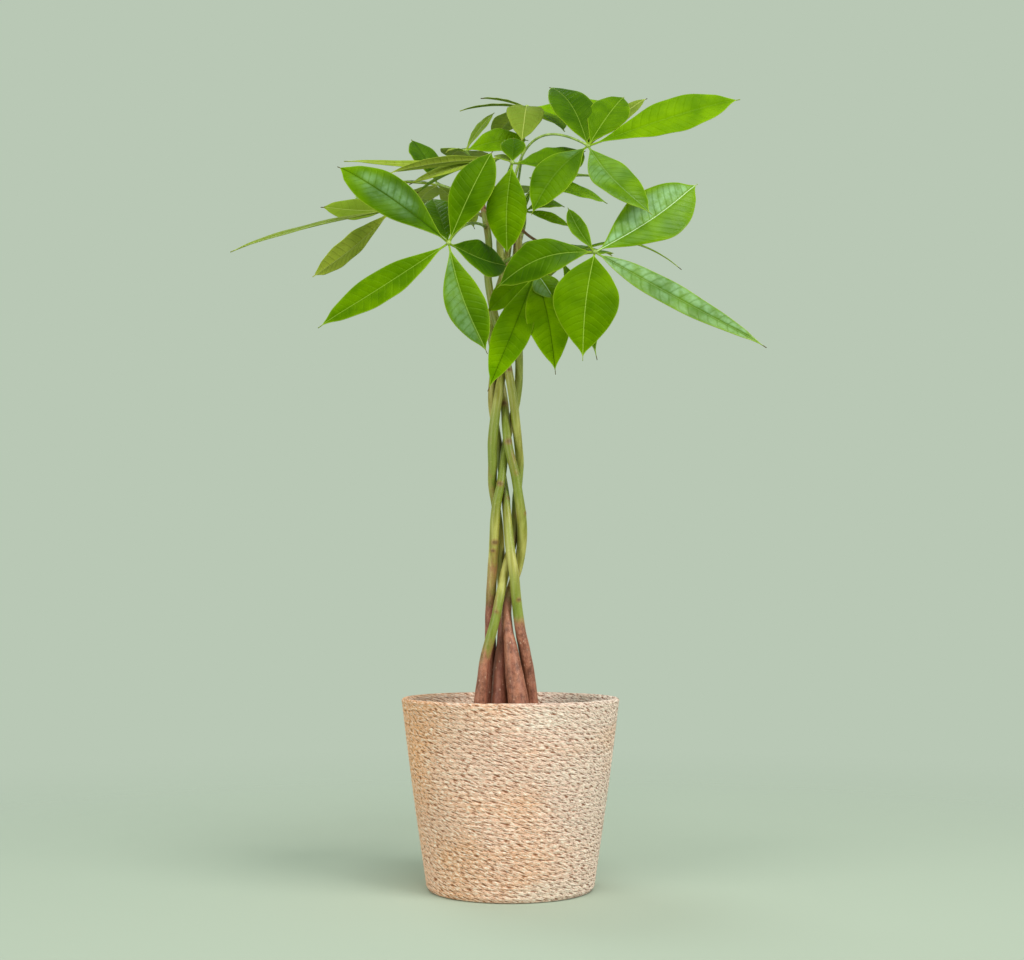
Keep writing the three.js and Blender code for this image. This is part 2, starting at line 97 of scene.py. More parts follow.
POT_FOOT_Z = 5.3
POT_TOP_Z = 165.0
POT_WALL = 1.8
POT_FLOOR = 2.4
POT_FOOT_R = 70.0
POT_TOP_R = 91.0
POT_LIP = 3.2
POT_LIP_DEPTH = 9.0
POT_SIDES = 144
DRAIN_HOLES = 6
DRAIN_HOLE_R = 6.0
DRAIN_RING_R = 44.0

SOIL_BOTTOM_Z = 8.0
SOIL_EDGE_Z = 153.0
SOIL_CROWN = 5.0
SOIL_HEAP = 1.6
SOIL_PLAY = 0.3
SOIL_ROUGHNESS = 0.45
SOIL_SIDES = 120
SOIL_CRUMBS = 900

STEM_RINGS = 340
STEM_SIDES = 28
LUMP_WAVES = 7
# The bud on a stem: how far above the stem's end each ring lies, and its share of the thickness.
BUD = ((0.8, 0.86), (1.7, 0.62), (2.6, 0.3), (3.1, 0.06))

PETIOLE_ROOT_R = 1.5
PETIOLE_END_R = 1.1
PETIOLE_SIDES = 14
PETIOLE_RINGS = 46
HUB_R = 2.5
HUB_SIDES = 20
BLADE_FOLD = 0.3
BLADE_CURL = 0.22
BLADE_MIDDLE = 0.8
BLADE_MARGIN = 0.36
STALK_HALF_WIDTH = 1.0
TIP_HALF_WIDTH = 0.3
VEIN_SPACING = 7.5
VEIN_SLANT = 0.45
VEIN_BEND = 1.2
QUILT_HEIGHT = 0.13
RUFFLE = 0.03
SWAY = 0.06
MIDRIB_GROOVE = 0.25
TIP_DROOP = 0.02
# The outline of a blade: where along the leaflet it starts and how long it is, as shares, how slim
# its sides are towards the hub and towards the tip, and how far its widest place sits past the
# middle. The last two are the usual values, a leaflet may have its own.
OUTLINE_START = 0.04
OUTLINE_LENGTH = 0.93
OUTLINE_POWER_AT_HUB = 1.05
OUTLINE_POWER_AT_TIP = 0.82
OUTLINE_SHIFT = 1.12

# Each stem: points along its middle line and the radius there, from the root upwards.
STEMS = {
  "stem_1": [[-32, -4, 106, 4], [-32, -5, 130, 6.5], [-30.5, -5, 156, 7], [-29, -6, 176, 6.3],
    [-27, -7, 196, 5.6], [-25, -8, 214, 5], [-20.5, -9, 233, 4.9], [-15, -10, 253, 4.6],
    [-11, -9, 273, 4.5], [-7, -4, 292, 4.5], [-1.5, 3, 316, 4.5], [3.5, 8, 337, 4.4],
    [5, 9, 356, 4.3], [6, 7, 374, 4.3], [8, 5, 393, 4.2], [9, 3, 408, 4.2], [8, 0, 422, 4.1],
    [5.5, -5, 446, 4.3], [2.5, -8, 471, 4.3], [-0.5, -9, 489, 4.2], [-4, -9, 507, 4.2],
    [-10.5, -8, 533, 4], [-18, -6, 564, 4], [-22.5, -3, 595, 3.8], [-21.5, -1, 626, 3.6],
    [-24.5, 0, 649, 3.4], [-28.5, 0, 670, 2.6]],
  "stem_2": [[-22, 21, 106, 4], [-22, 20, 130, 6.6], [-21, 19, 156, 7], [-20.5, 17, 175, 6.6],
    [-19.5, 15, 201, 6.1], [-19, 12, 223, 5.6], [-20, 7, 249, 5], [-19, 3, 278, 4.9],
    [-17.5, 1, 303, 4.9], [-16, -2, 327, 5], [-15, -5, 350, 4.9], [-13.5, -6, 366, 4.6],
    [-10, -6, 384, 4.1], [-7.5, -3, 401, 4.1], [-5.5, 2, 420, 4.1], [-1.5, 6, 441, 4.1],
    [4, 7, 461, 4.1], [7.5, 4, 482, 4.1], [8.5, 1, 501, 4], [8, -3, 522, 4],
    [5.5, -7, 547, 4], [-0.5, -9, 573, 3.9], [-7.5, -9, 598, 3.8], [-10.5, -6, 624, 3.6],
    [-9.5, -2, 648, 3.4], [-9.5, 0, 668, 2.6]],
  "stem_3": [[-10, 4, 106, 5], [-10.5, 4, 130, 8.6], [-10.5, 3, 156, 9.4], [-10, 2, 175, 9],
    [-9.5, 4, 204, 7.8], [-8, 7, 230, 5.6], [-7, 9, 254, 4.8], [-7.5, 10, 275, 4.6],
    [-9, 10, 298, 4.5], [-10, 9, 322, 4.4], [-11.5, 6, 345, 4.4], [-14.5, 5, 367, 4.4],
    [-17.5, 2, 386, 4.4], [-17.5, -2, 406, 4.6], [-17.5, -5, 428, 4.9], [-15.5, -6, 449, 4.8],
    [-12.5, -6, 470, 4.6], [-9.5, -3, 489, 4.3], [-5, 2, 508, 4.2], [0.5, 6, 529, 4],
    [6.5, 8, 552, 4], [10.5, 6, 576, 3.9], [10.5, 1, 599, 3.8], [8.5, -3, 620, 3.5],
    [8.5, -2, 638, 3.3], [9.5, -2, 652, 2.4]],
  "stem_4": [[10, -10, 106, 5.5], [10, -10, 130, 9.8], [8.5, -10, 156, 10.6], [7.5, -9, 176, 10.2],
    [3.5, -8, 204, 8.8], [0.5, -7, 225, 6.8], [-2, -5, 243, 5], [-3.5, -1, 260, 4.6],
    [-2, 1, 276, 4.5], [2.5, 6, 291, 4.5], [7.5, 7, 306, 4.6], [10.5, 4, 323, 4.8],
    [11.5, 1, 340, 5], [10.5, -3, 357, 4.9], [8, -6, 375, 4.6], [4.5, -8, 396, 4.5],
    [0, -9, 414, 4.3], [-3, -8, 430, 4.2], [-4.5, -3, 446, 4.2], [-5.5, 3, 461, 4.1],
    [-7.5, 7, 477, 4.1], [-11.5, 9, 498, 4.1], [-16.5, 8, 520, 4], [-19.5, 5, 543, 4],
    [-15.5, 2, 569, 3.9], [-8.5, 2, 593, 3.8], [-3.5, 4, 616, 3.6], [-1, 6, 637, 3.4],
    [0.5, 6, 659, 2.6]],
  "stem_5": [[24, 7, 106, 4], [24, 7, 130, 6.8], [22.5, 6, 156, 7.2], [20.5, 5, 175, 6.8],
    [17.5, 2, 201, 6.2], [14, -2, 223, 5.8], [9.5, -5, 245, 5.2], [6, -8, 272, 4.9],
    [3.5, -10, 298, 4.9], [0, -9, 321, 4.7], [-2, -7, 340, 4.5], [-3.5, -4, 358, 4.2],
    [-5, 0, 376, 4.1], [-7.5, 5, 393, 4], [-10, 9, 410, 4], [-12, 9, 427, 4],
    [-15, 7, 446, 4], [-18, 5, 465, 4], [-18, 2, 482, 4], [-16, 0, 500, 4],
    [-12, 0, 521, 4], [-7, 1, 544, 4], [-1.5, 4, 569, 3.9], [2.5, 8, 594, 3.8],
    [5, 11, 616, 3.5], [6, 12, 636, 2.6]],
}

# Each leaf: the stem that carries it, the height of its root on that stem, a point that its stalk
# passes, its hub, the way its upper side faces, and its leaflets. A leaflet is its tip, its width,
# how far it arches towards its upper side and sideways (shares of its length) and its roll. Two
# more values, where given, are its own slimness towards the tip and its own shift past the middle.
LEAVES = {
  "leaf_a": { "stem": "stem_1", "root": 644, "via": [-42, -46, 634], "hub": [-58, -80, 607],
    "face": [0, -0.9, 0.45],
    "leaflets": [[-166, -58, 689, 45, 0.05, 0, 0, 0.65, 1.2], [-17, -55, 705, 40, 0.05, 0, 0, 0.75],
      [-178, -92, 525, 36, 0.03, -0.03, 0], [-21, -100, 499, 38, 0.05, 0.05, 0, 0.85, 1.3],
      [-2, -36, 596, 44, 0.03, 0.1, 0], [-77, -22, 668, 36, 0.05, 0, 0]] },
  "leaf_b": { "stem": "stem_3", "root": 644, "via": [36, -40, 615], "hub": [79, -85, 597],
    "face": [0.05, -0.9, 0.42],
    "leaflets": [[66, -108, 491, 61, 0.05, 0.03, 0, 1.05, 0.95], [-13, -78, 565, 44, 0.1, 0.07, 0],
      [180, -55, 673, 60, 0.04, 0.06, 0, 0.85], [235, -102, 505, 28, 0.03, 0.03, 0, 0.75, 0.75],
      [55, -58, 648, 17, 0.03, -0.05, 0]] },
  "leaf_c": { "stem": "stem_4", "root": 656, "via": [21, -8, 728], "hub": [76, -34, 716],
    "face": [0.1, -0.85, 0.5],
    "leaflets": [[40, 28, 800, 43, 0.1, 0.02, 0, 0.9, 0.9], [80, 30, 768, 34, 0.04, 0.05, 0],
      [115, 8, 782, 39, 0.06, 0, 0, 0.7], [226, -30, 766, 46, 0.03, 0.01, 0, 0.75, 1.3],
      [132, -92, 632, 42, 0.04, 0.08, 0], [20, -74, 637, 39, 0.05, 0.05, 0],
      [142, 46, 795, 16, 0.03, 0, 0]] },
  "leaf_d": { "stem": "stem_2", "root": 652, "via": [-5, -26, 680], "hub": [2, -50, 694],
    "face": [0, -0.8, 0.6],
    "leaflets": [[-3, -66, 599, 39, 0.04, 0.03, 0], [75, -4, 722, 44, 0, 0.12, 0],
      [3, -28, 727, 25, 0.05, 0, 0], [-16, -30, 708, 10, 0.05, 0, 0]] },
  "leaf_e": { "stem": "stem_2", "root": 604, "via": [8, -30, 606], "hub": [24, -45, 588],
    "face": [0, -0.9, 0.43],
    "leaflets": [[-21, -84, 467, 36, 0.05, -0.02, 0, 1], [42, -82, 483, 42, 0.05, -0.02, 0, 1.05, 1],
      [-23, -36, 550, 28, 0.05, 0, 0], [42, -62, 556, 27, 0.05, 0, 0, 1.2]] },
  "leaf_f": { "stem": "stem_1", "root": 655, "via": [-70, 12, 670], "hub": [-115, -34, 653],
    "face": [-0.2, -0.5, 0.85],
    "leaflets": [[-269, -50, 608, 20, 0.02, 0, 0], [-187, -70, 578, 36, 0, 0.05, 60, 0.6, 1.3],
      [-188, -12, 662, 27, -0.05, 0, -30], [-158, 50, 692, 30, 0.05, 0, 0],
      [-86, 60, 683, 30, 0.05, 0, 0]] },
  "leaf_g": { "stem": "stem_2", "root": 660, "via": [-20, 22, 698], "hub": [-46, 14, 727],
    "face": [0, -0.3, 0.95],
    "leaflets": [[-17, 40, 777, 14, 0.03, 0, 0], [18, 18, 740, 35, 0.08, 0, 40],
      [-65, 2, 722, 11, 0.1, 0, 0], [-38, 118, 742, 36, 0.05, 0, 0],
      [-66, 100, 748, 32, 0.05, 0, 0]] },
  "leaf_h": { "stem": "stem_4", "root": 638, "via": [10, 28, 715], "hub": [17, 42, 783],
    "face": [0.1, -0.2, 0.97],
    "leaflets": [[-52, 26, 774, 14, 0.05, 0, 0], [-31, 50, 796, 12, 0.04, 0, 0],
      [124, 58, 790, 38, -0.05, 0, 40], [55, 8, 746, 38, 0.05, 0, 0],
      [11, -18, 725, 38, 0.16, 0, 0], [54, 120, 790, 34, 0.03, 0, 0],
      [-20, 128, 778, 30, 0.04, 0, 0]] },
  "leaf_i": { "stem": "stem_4", "root": 626, "via": [8, 34, 672], "hub": [26, 66, 706],
    "face": [0.1, -0.2, 0.97],
    "leaflets": [[104, 104, 700, 34, 0.06, 0, 30], [103, 150, 742, 32, 0.05, 0, 0],
      [-12, 150, 715, 36, 0.05, 0, 0], [50, 176, 742, 38, 0.05, 0, 0]] },
  "leaf_j": { "stem": "stem_3", "root": 628, "via": [14, 4, 646], "hub": [14, -3, 660],
    "face": [0.1, -0.4, 0.9],
    "leaflets": [[60, 4, 646, 15, 0.05, 0, 30], [55, 22, 672, 18, 0.12, 0, 20],
      [20, -9, 678, 8, 0.05, 0, 0]] },
  "leaf_k": { "stem": "stem_5", "root": 622, "via": [26, 26, 636], "hub": [51, 44, 624],
    "face": [0.1, -0.5, 0.85],
    "leaflets": [[179, 74, 621, 8, 0.17, 0, 0, 1.3, 0.8], [87, 20, 515, 36, 0.06, 0, 0, 1.7],
      [26, 22, 596, 22, 0.05, 0, 0], [12, 130, 600, 40, 0.05, 0, 0],
      [112, 150, 655, 40, 0.05, 0, 0]] },
  "leaf_l": { "stem": "stem_5", "root": 630, "via": [-30, 46, 680], "hub": [-77, 74, 711],
    "face": [0, -0.3, 0.95],
    "leaflets": [[-106, 92, 766, 36, 0.05, 0, 0], [-166, 128, 720, 36, 0.05, 0, 0],
      [-40, 168, 690, 38, 0.05, 0, 0], [-112, 172, 706, 38, 0.05, 0, 0]] },
  "leaf_m": { "stem": "stem_1", "root": 666, "via": [-27, -8, 688], "hub": [-13, -14, 710],
    "face": [0, -0.4, 0.9],
    "leaflets": [[-163, -32, 703, 10, -0.04, 0, -30], [-118, -60, 681, 14, 0.04, 0, 50],
      [-101, -6, 687, 15, 0.04, 0, -30], [-97, 40, 692, 24, 0.05, 0, 0]] },
}

# ------------------------ colours, 0..255 on a screen
BACKDROP = srgb(185, 200, 181)
CEILING = srgb(150, 156, 150)
FLOOR_COLOUR = srgb(172, 183, 168)

ROPE_PINK = srgb(250, 210, 192)
ROPE_ORANGE = srgb(250, 186, 134)
# Painted light on the rope: its raised strands, pale patches on the right and the inside wall.
ROPE_PAINTED_LIGHT = srgb(255, 240, 226)
ROPE_LIT_SIDE_ROSE = srgb(255, 230, 217)
ROPE_FIBRE_AND_SHADE = srgb(200, 142, 102)
ROPE_CREVICE_SHADE = srgb(158, 92, 52)
ROPE_FLECK_HIGHLIGHT = srgb(255, 250, 240)
ROPE_GAP_SHADE = srgb(132, 70, 30)

LEAF_DARK = srgb(16, 58, 0)
LEAF_MIDDLE = srgb(42, 86, 0)
LEAF_BRIGHT = srgb(96, 142, 0)
LEAF_LIGHT = srgb(130, 174, 0)
LEAF_VEIN = srgb(104, 146, 12)
LEAF_MIDRIB = srgb(174, 204, 84)
LEAF_RIB_SHADE = srgb(14, 46, 0)
LEAF_MARGIN = srgb(172, 200, 56)
LEAF_PAINTED_SHEEN_COLOUR = srgb(168, 210, 168)
LEAF_FURROW_SHADE = srgb(30, 84, 14)
LEAF_RIB_HIGHLIGHT = srgb(206, 232, 190)
LEAF_SHEEN = (0.8, 1.0, 0.0, 1.0)
LEAF_THROUGH = srgb(160, 200, 0)
LEAF_DRY_TIP = srgb(84, 64, 30)
UNDER_DARK = srgb(96, 122, 38)
UNDER_LIGHT = srgb(168, 182, 60)
UNDER_LIT = srgb(176, 190, 74)
UNDER_VEIN = srgb(116, 122, 34)
UNDER_NET = srgb(176, 196, 100)
UNDER_MIDRIB = srgb(190, 200, 110)
STALK_DARK = srgb(104, 132, 38)
STALK_LIGHT = srgb(150, 176, 76)
STALK_BROWN = srgb(104, 74, 44)

STEM_OLIVE = srgb(128, 116, 16)
STEM_PALE = srgb(188, 182, 98)
STEM_GREEN = srgb(100, 126, 18)
STEM_BLUSH = srgb(146, 106, 54)
STEM_FLECK = srgb(196, 204, 120)
STEM_CONTACT_SHADE = srgb(62, 34, 12)
BARK_DARK = srgb(108, 60, 42)
BARK_LIGHT = srgb(174, 113, 87)
BARK_RED = srgb(116, 48, 32)
BARK_FLECK = srgb(206, 160, 136)
PORE_PALE = srgb(226, 190, 164)
PORE_DARK = srgb(60, 28, 20)
SCAR_EDGE = srgb(136, 92, 48)
SCAR_MIDDLE = srgb(84, 48, 28)

PLASTIC_DARK = srgb(38, 34, 32)
PLASTIC_LIGHT = srgb(58, 52, 48)
SOIL_DARK = srgb(40, 28, 20)
SOIL_LIGHT = srgb(92, 68, 48)
SOIL_DAMP = srgb(62, 44, 32)
SOIL_GRAIN = srgb(150, 122, 88)

# ------------------------ the look of each leaf and stem
# How light and how glossy each leaflet is, 0..1, in the order of its leaf's leaflets. Its lightness is
# partly its own colour and partly painted light and shade for how lit it sits in the crown. Here and
# below, a leaf without a row is plain.
LEAF_TONE_AND_SHADE = {
  "leaf_a": (0.2, 0.28, 0.55, 0.42, 0.12, 0.3),
  "leaf_b": (0.48, 0.22, 0.7, 0.5, 0.35),
  "leaf_c": (0.24, 0.7, 0.5, 0.8, 0.6, 0.35, 0.2),
  "leaf_d": (0.5, 0.42, 0.25, 0.3),
  "leaf_e": (0.66, 0.86, 0.55, 0.5),
  "leaf_f": (0.25, 0.8, 0.45, 0.4, 0.4),
  "leaf_g": (0.2, 0.72, 0.4, 0.5, 0.5),
  "leaf_h": (0.2, 0.2, 1, 0.9, 0.2, 0.8, 0.6),
  "leaf_i": (0.9, 0.9, 0.6, 0.7),
  "leaf_j": (0.6, 0.5, 0.4),
  "leaf_k": (0.5, 0.3, 0.3, 0.4, 0.5),
  "leaf_l": (0.25, 0.6, 0.5, 0.6),
  "leaf_m": (0.5, 0.6, 0.65, 0.9),
}
LEAF_GLOSS = {
  "leaf_a": (0.04, 0, 0, 0.1, 0, 0),
  "leaf_b": (0, 0.03, 0.4, 0.7, 0.1),
  "leaf_c": (0, 0, 0, 0, 0.35, 0.08, 0),
  "leaf_d": (0, 0.02, 0, 0),
  "leaf_e": (0, 0, 0, 0.5),
  "leaf_f": (0, 0, 0, 0, 0),
  "leaf_g": (0, 0.05, 0, 0.05, 0.05),
  "leaf_h": (0, 0, 0, 0, 0, 0.05, 0.05),
  "leaf_m": (0, 0, 0, 0.05),
}
# A painted sheen, pale teal between the veins, on a leaflet's two halves, the shares of its length that
# it lies between, and the share of its half width that it reaches. A leaflet without a row has none.
LEAF_PAINTED_SHEEN = {
  "leaf_a": {0: (0.22, 0.34, 0.3, 0.85, 0.55), 3: (0, 0.26, 0.1, 0.95, 0.9)},
  "leaf_b": {1: (0.05, 0.02, 0, 0.4, 1), 2: (0.62, 0.06, 0.05, 0.95, 0.75), 3: (0.52, 0.36, 0.02, 1, 1)},
  "leaf_c": {4: (0.1, 0.25, 0, 0.6, 1), 5: (0, 0.2, 0, 0.3, 1)},
  "leaf_e": {3: (0, 0.3, 0.1, 0.9, 1)},
}
# Leaflets that grow lighter toward their tips, and how much. Below 0 they grow darker.
LEAF_TIP_TONE = {"leaf_a": {0: 0.45, 3: -0.1}, "leaf_e": {0: 0.15}}
# How pale the midrib is, 0..1, or how dark where it lies in a furrow, below 0.
LEAF_RIB = {
  "leaf_a": (-0.7, 0.55, 0.4, 0.4, 0.35, 0.1),
  "leaf_b": (0.6, 0.45, 1, 0.15, 0.2),
  "leaf_c": (0.3, 0.6, 0.45, 0.1, 0.2, 0.1, 0.3),
  "leaf_d": (0.35, 0.05, 0.05, 0.1),
  "leaf_e": (-0.6, -0.7, 0.1, 0.6),
  "leaf_l": (-0.4, 0.2, 0.2, 0.2),
}
# Leaflets whose upper side is as pale as an under side, in the same order, 0..1, and below 0 those
# whose under side is as green as their upper side.
LEAF_PALE = {
  "leaf_c": (0, 0, 0, 0, 0, 0, 0.8),
  "leaf_d": (0, 0, -0.6, 0.5),
  "leaf_f": (0.9, 0.3, 0.5, 0, 0),
  "leaf_h": (0.9, 0.9, -1, -1, 0.85, 0, 0.3),
  "leaf_g": (0.5, -0.6, 0.8, 0.2, 0.2),
  "leaf_i": (-0.8, -0.5, -0.5, -0.5),
  "leaf_l": (-0.5, 0.3, 0.3, 0.5),
  "leaf_m": (0.8, 0.6, 0.8, -0.6),
}
PLAIN_GLOSS = 0.1
PLAIN_RIB = 0.15
NO_PAINTED_SHEEN = (0, 0, 0, 1, 1)
# Leaves whose whole stalk is brown.
BROWN_STALKS = ("leaf_b",)

# For each stem: the height where bark gives way to green, how gradual that is, the heights of
# faint rings, and scars where old leaves were: height, turn round the stem in degrees (-90 faces
# the front) and size.
BARK = {
  "stem_1": (224, 20, (347, 560), ((392, -120, 2.6), (369, -60, 1.8), (498, -70, 2.2),
    (262, -100, 2.2), (456, 60, 2.4), (310, 130, 2.4))),
  "stem_2": (296, 30, (470,), ((386, -110, 3.2), (330, -80, 3.4), (322, -100, 2.4),
    (440, 80, 2.4), (540, 100, 2.2))),
  "stem_3": (262, 18, (361, 512), ((428, 60, 2.4), (345, 150, 2.6), (590, -30, 2.0))),
  "stem_4": (276, 14, (466,), ((466, -110, 3.4), (427, -80, 3.4), (283, -90, 2.6),
    (358, -10, 2.4), (520, 90, 2.4))),
  "stem_5": (256, 6, (271, 455), ((372, -30, 2.4), (274, -60, 2.4), (330, 110, 2.6),
    (416, 60, 2.0), (560, 120, 2.4))),
}
# How much painted shade darkens the bark of the inner stems towards a deep red-brown, 0..1.
STEM_INNER_SHADE = {"stem_2": 0.5, "stem_3": 0.9}

# Each soft square light: its place and its width in metres, its power in watts and its colour.
LIGHTS = {
  "key": ((2.7, -2.1, 2.0), 2.2, 108, (1.0, 0.955, 0.91)),
  "fill": ((-2.8, -2.6, 1.2), 2.4, 80, (1.0, 0.96, 0.9)),
  "overhead": ((0.35, -1.3, 2.8), 1.3, 34, (0.93, 1.0, 0.98)),
  "back": ((-1.4, 2.0, 2.6), 1.8, 30, (0.92, 1.0, 0.98)),
}
LIGHTS_LOOK_AT_M = (0, 0, 0.45)
FLOOR_RINGS_M = (1.0, 4.0, 30.0)
CAMERA_PLACE_M = (0.0015, -1.4, 0.2576)
CAMERA_TILT = 95.44
CAMERA_LENS = 50.45


# ------------------------ shader nodes
class Value:
    """An output of a shader node. Arithmetic on values makes the math nodes that work it out."""

    def __init__(self, look, node, output):
        self.look, self.node, self.output = look, node, output

    def __add__(self, other):
        return self.look.calc("ADD", self, other)

    def __sub__(self, other):
        return self.look.calc("SUBTRACT", self, other)

    def __rsub__(self, other):
        return self.look.calc("SUBTRACT", other, self)

    def __mul__(self, other):
        return self.look.calc("MULTIPLY", self, other)

    def __truediv__(self, other):
        return self.look.calc("DIVIDE", self, other)

    def __abs__(self):
        return self.look.calc("ABSOLUTE", self)

    def __round__(self):
        return self.look.calc("ROUND", self)

    def smooth(self, low, high, to_low=0, to_high=1):
        """The value turned smoothly from one range into another, and held at its ends."""
        inputs = {"Value": self, "From Min": low, "From Max": high,
                  "To Min": to_low, "To Max": to_high}
        return self.look.add("MapRange", "Result", inputs, interpolation_type="SMOOTHSTEP")

    def parts(self, kind="XYZ"):
        """The three numbers of a vector, or of a colour."""
        node = self.look.add("Separate" + kind, 0, {0: self}).node
        return [Value(self.look, node, k) for k in range(3)]


class Look:
    """The nodes of a material or of the world."""

    def __init__(self, owner):
        owner.use_nodes = True
        self.owner, self.tree = owner, owner.node_tree
        self.tree.nodes.clear()

    def add(self, kind, output=0, inputs=None, **settings):
        """An output of a new node. Each of its inputs is a number, a colour or another value."""
        node = self.tree.nodes.new("ShaderNode" + kind)
        for key, setting in settings.items():
            setattr(node, key, setting)
        for key, value in (inputs or {}).items():
            if isinstance(value, Value):
                self.tree.links.new(value.node.outputs[value.output], node.inputs[key])
            else:
                node.inputs[key].default_value = value
        return Value(self, node, output)

    def calc(self, operation, *values, clamp=False):
        inputs = dict(enumerate(values))
        return self.add("Math", 0, inputs, operation=operation, use_clamp=clamp)

    def attributes(self, *names):
        """The values per point of those names."""
        return [self.add("Attribute", "Fac", attribute_name=name) for name in names]

    def place(self, *scale):
        """The place in the object's frame, in metres, scaled along each axis where that is given."""
        place = self.add("TexCoord", "Object")
        return self.add("Mapping", "Vector", {"Vector": place, "Scale": scale}) if scale else place

    def noise(self, scale, detail=3, roughness=0.5, at=None):
        """Smooth noise, 0..1. scale is one number, or a tuple with one for each axis."""
        if isinstance(scale, tuple):
            at, scale = self.place(*scale), 1
        inputs = {"Vector": at or self.place(), "Scale": scale, "Detail": detail,
                  "Roughness": roughness}
        return self.add("TexNoise", "Fac", inputs)

    def vector(self, x, y, z):
        return self.add("CombineXYZ", 0, {0: x, 1: y, 2: z})

    def mixed(self, share, first, second):
        """Two colours mixed by a share."""
        return self.add("Mix", 2, {0: share, 6: first, 7: second}, data_type="RGBA")

    def layers(self, colour, *layers):
        """A colour with layers of (share, colour) mixed over it one after the other."""
        for share, over in layers:
            colour = self.mixed(share, colour, over)
        return colour

    def bump(self, height, distance, strength=1):
        inputs = {"Height": height, "Distance": distance, "Strength": strength}
        return self.add("Bump", "Normal", inputs)

    def principled(self, colour, roughness, normal=None, specular=0.5, **more):
        inputs = {"Base Color": colour, "Roughness": roughness, "Specular IOR Level": specular}
        if normal:
            inputs["Normal"] = normal
        return self.add("BsdfPrincipled", 0, {**inputs, **more})

    def finish(self, shader, kind="OutputMaterial"):
        """The material or the world, now with this shader."""
        self.add(kind, None, {"Surface": shader})
        return self.owner


# ------------------------ materials
def material_look(name):
    return Look(bpy.data.materials.new(name))


def rope_material():
    """Twisted plant-fibre rope in rows, with painted light and shade: painted shade in the gaps between
    plies, in crevices and fibre grooves, painted highlights on ridges and flecks, a painted lit right
    side, a painted shaded, more orange left side and a paler inside wall as painted light.
    """
    look = material_look("twisted_fibre_rope")
    u, v, _ = look.add("UVMap", "UV", uv_map="rope").parts()
    twist, level = u * UV_TWIST, v * UV_LEVEL
    seam = round(level)
    turn = twist + seam * GAP_SHIFT
    gap_number = round(turn)
    chance = look.add("TexWhiteNoise", "Color", {"Vector": look.vector(gap_number, seam, 3.5)},
                      noise_dimensions="3D")
    aside, lower, longer = chance.parts("Color")
    beside = (turn - gap_number) * PLY_LENGTH + aside.smooth(0, 1, -1.5, 1.5)
    below = (level - seam) * ROPE_PITCH + lower.smooth(0, 1, -0.6, 0.6)
    off_line = below - beside * GAP_LEAN
    ends = (abs(beside) / longer.smooth(0, 1, 3.2, 8)).smooth(0.4, 1, 1, 0)
    hollow = abs(off_line).smooth(0, 1.3, 1, 0) * ends

    x, y = twist * PLY_LENGTH, level * ROPE_PITCH
    down_right, square_to_it = x + y * GAP_LEAN, y - x * GAP_LEAN
    strand = look.noise(1, 3, 0.6, look.vector(down_right * 0.16, square_to_it * 0.74, 0))
    fibre = look.noise(1, 2, 0.7, look.vector(down_right * 0.34, square_to_it * 1.1, 7))
    relief = strand - hollow * 0.17
    # Painted shade: the deepest parts of the relief, in the gaps between plies.
    gap_shade = relief.smooth(0.26, 0.43, 1, 0)

    side = look.place().parts()[0]
    # Painted shade: the left side turns darker and more orange, over a random pink-to-orange tone.
    orange_and_left_shade = look.noise(9, 2) - side * 2.6
    band = look.noise((8, 8, 30))
    colour = look.layers(
        look.mixed(orange_and_left_shade.smooth(0.3, 0.85), ROPE_PINK, ROPE_ORANGE),
        # Painted light: the right side lighter and rosier.
        (side.smooth(0, 0.1, 0, 0.9), ROPE_LIT_SIDE_ROSE),
        # Painted light: pale patches on the right half.
        (band.smooth(0.5, 0.68, 0, 0.6) * side.smooth(-0.08, 0), ROPE_PAINTED_LIGHT),
        (band.smooth(0.48, 0.32, 0, 0.3), ROPE_ORANGE),
        # Painted light: the inside wall, inward of the rim's top, painted paler against its shade.
        (level.smooth(RIM_LEVEL, RIM_LEVEL - 1, 0, 0.4), ROPE_PAINTED_LIGHT),
        # Painted highlight on the raised strands of the relief.
        (strand.smooth(0.5, 0.64, 0, 0.85), ROPE_PAINTED_LIGHT),
        # Darker fibres in the fine grooves: partly the fibres' own colour, partly painted shade.
        (fibre.smooth(0.48, 0.34, 0, 0.7), ROPE_FIBRE_AND_SHADE),
        # Painted shade in the crevices between the strands.
        (strand.smooth(0.47, 0.36, 0, 0.75), ROPE_CREVICE_SHADE),
        # Painted highlights: bright flecks on the fine fibres.
        (fibre.smooth(0.56, 0.68, 0, 0.8), ROPE_FLECK_HIGHLIGHT),
        # Painted shade in the gaps between plies.
        (gap_shade * 0.8, ROPE_GAP_SHADE))
    normal = look.bump(relief.smooth(0.15, 0.65) + fibre * 0.6, 0.0016)
    return look.finish(look.principled(colour, 0.86, normal, 0.25))


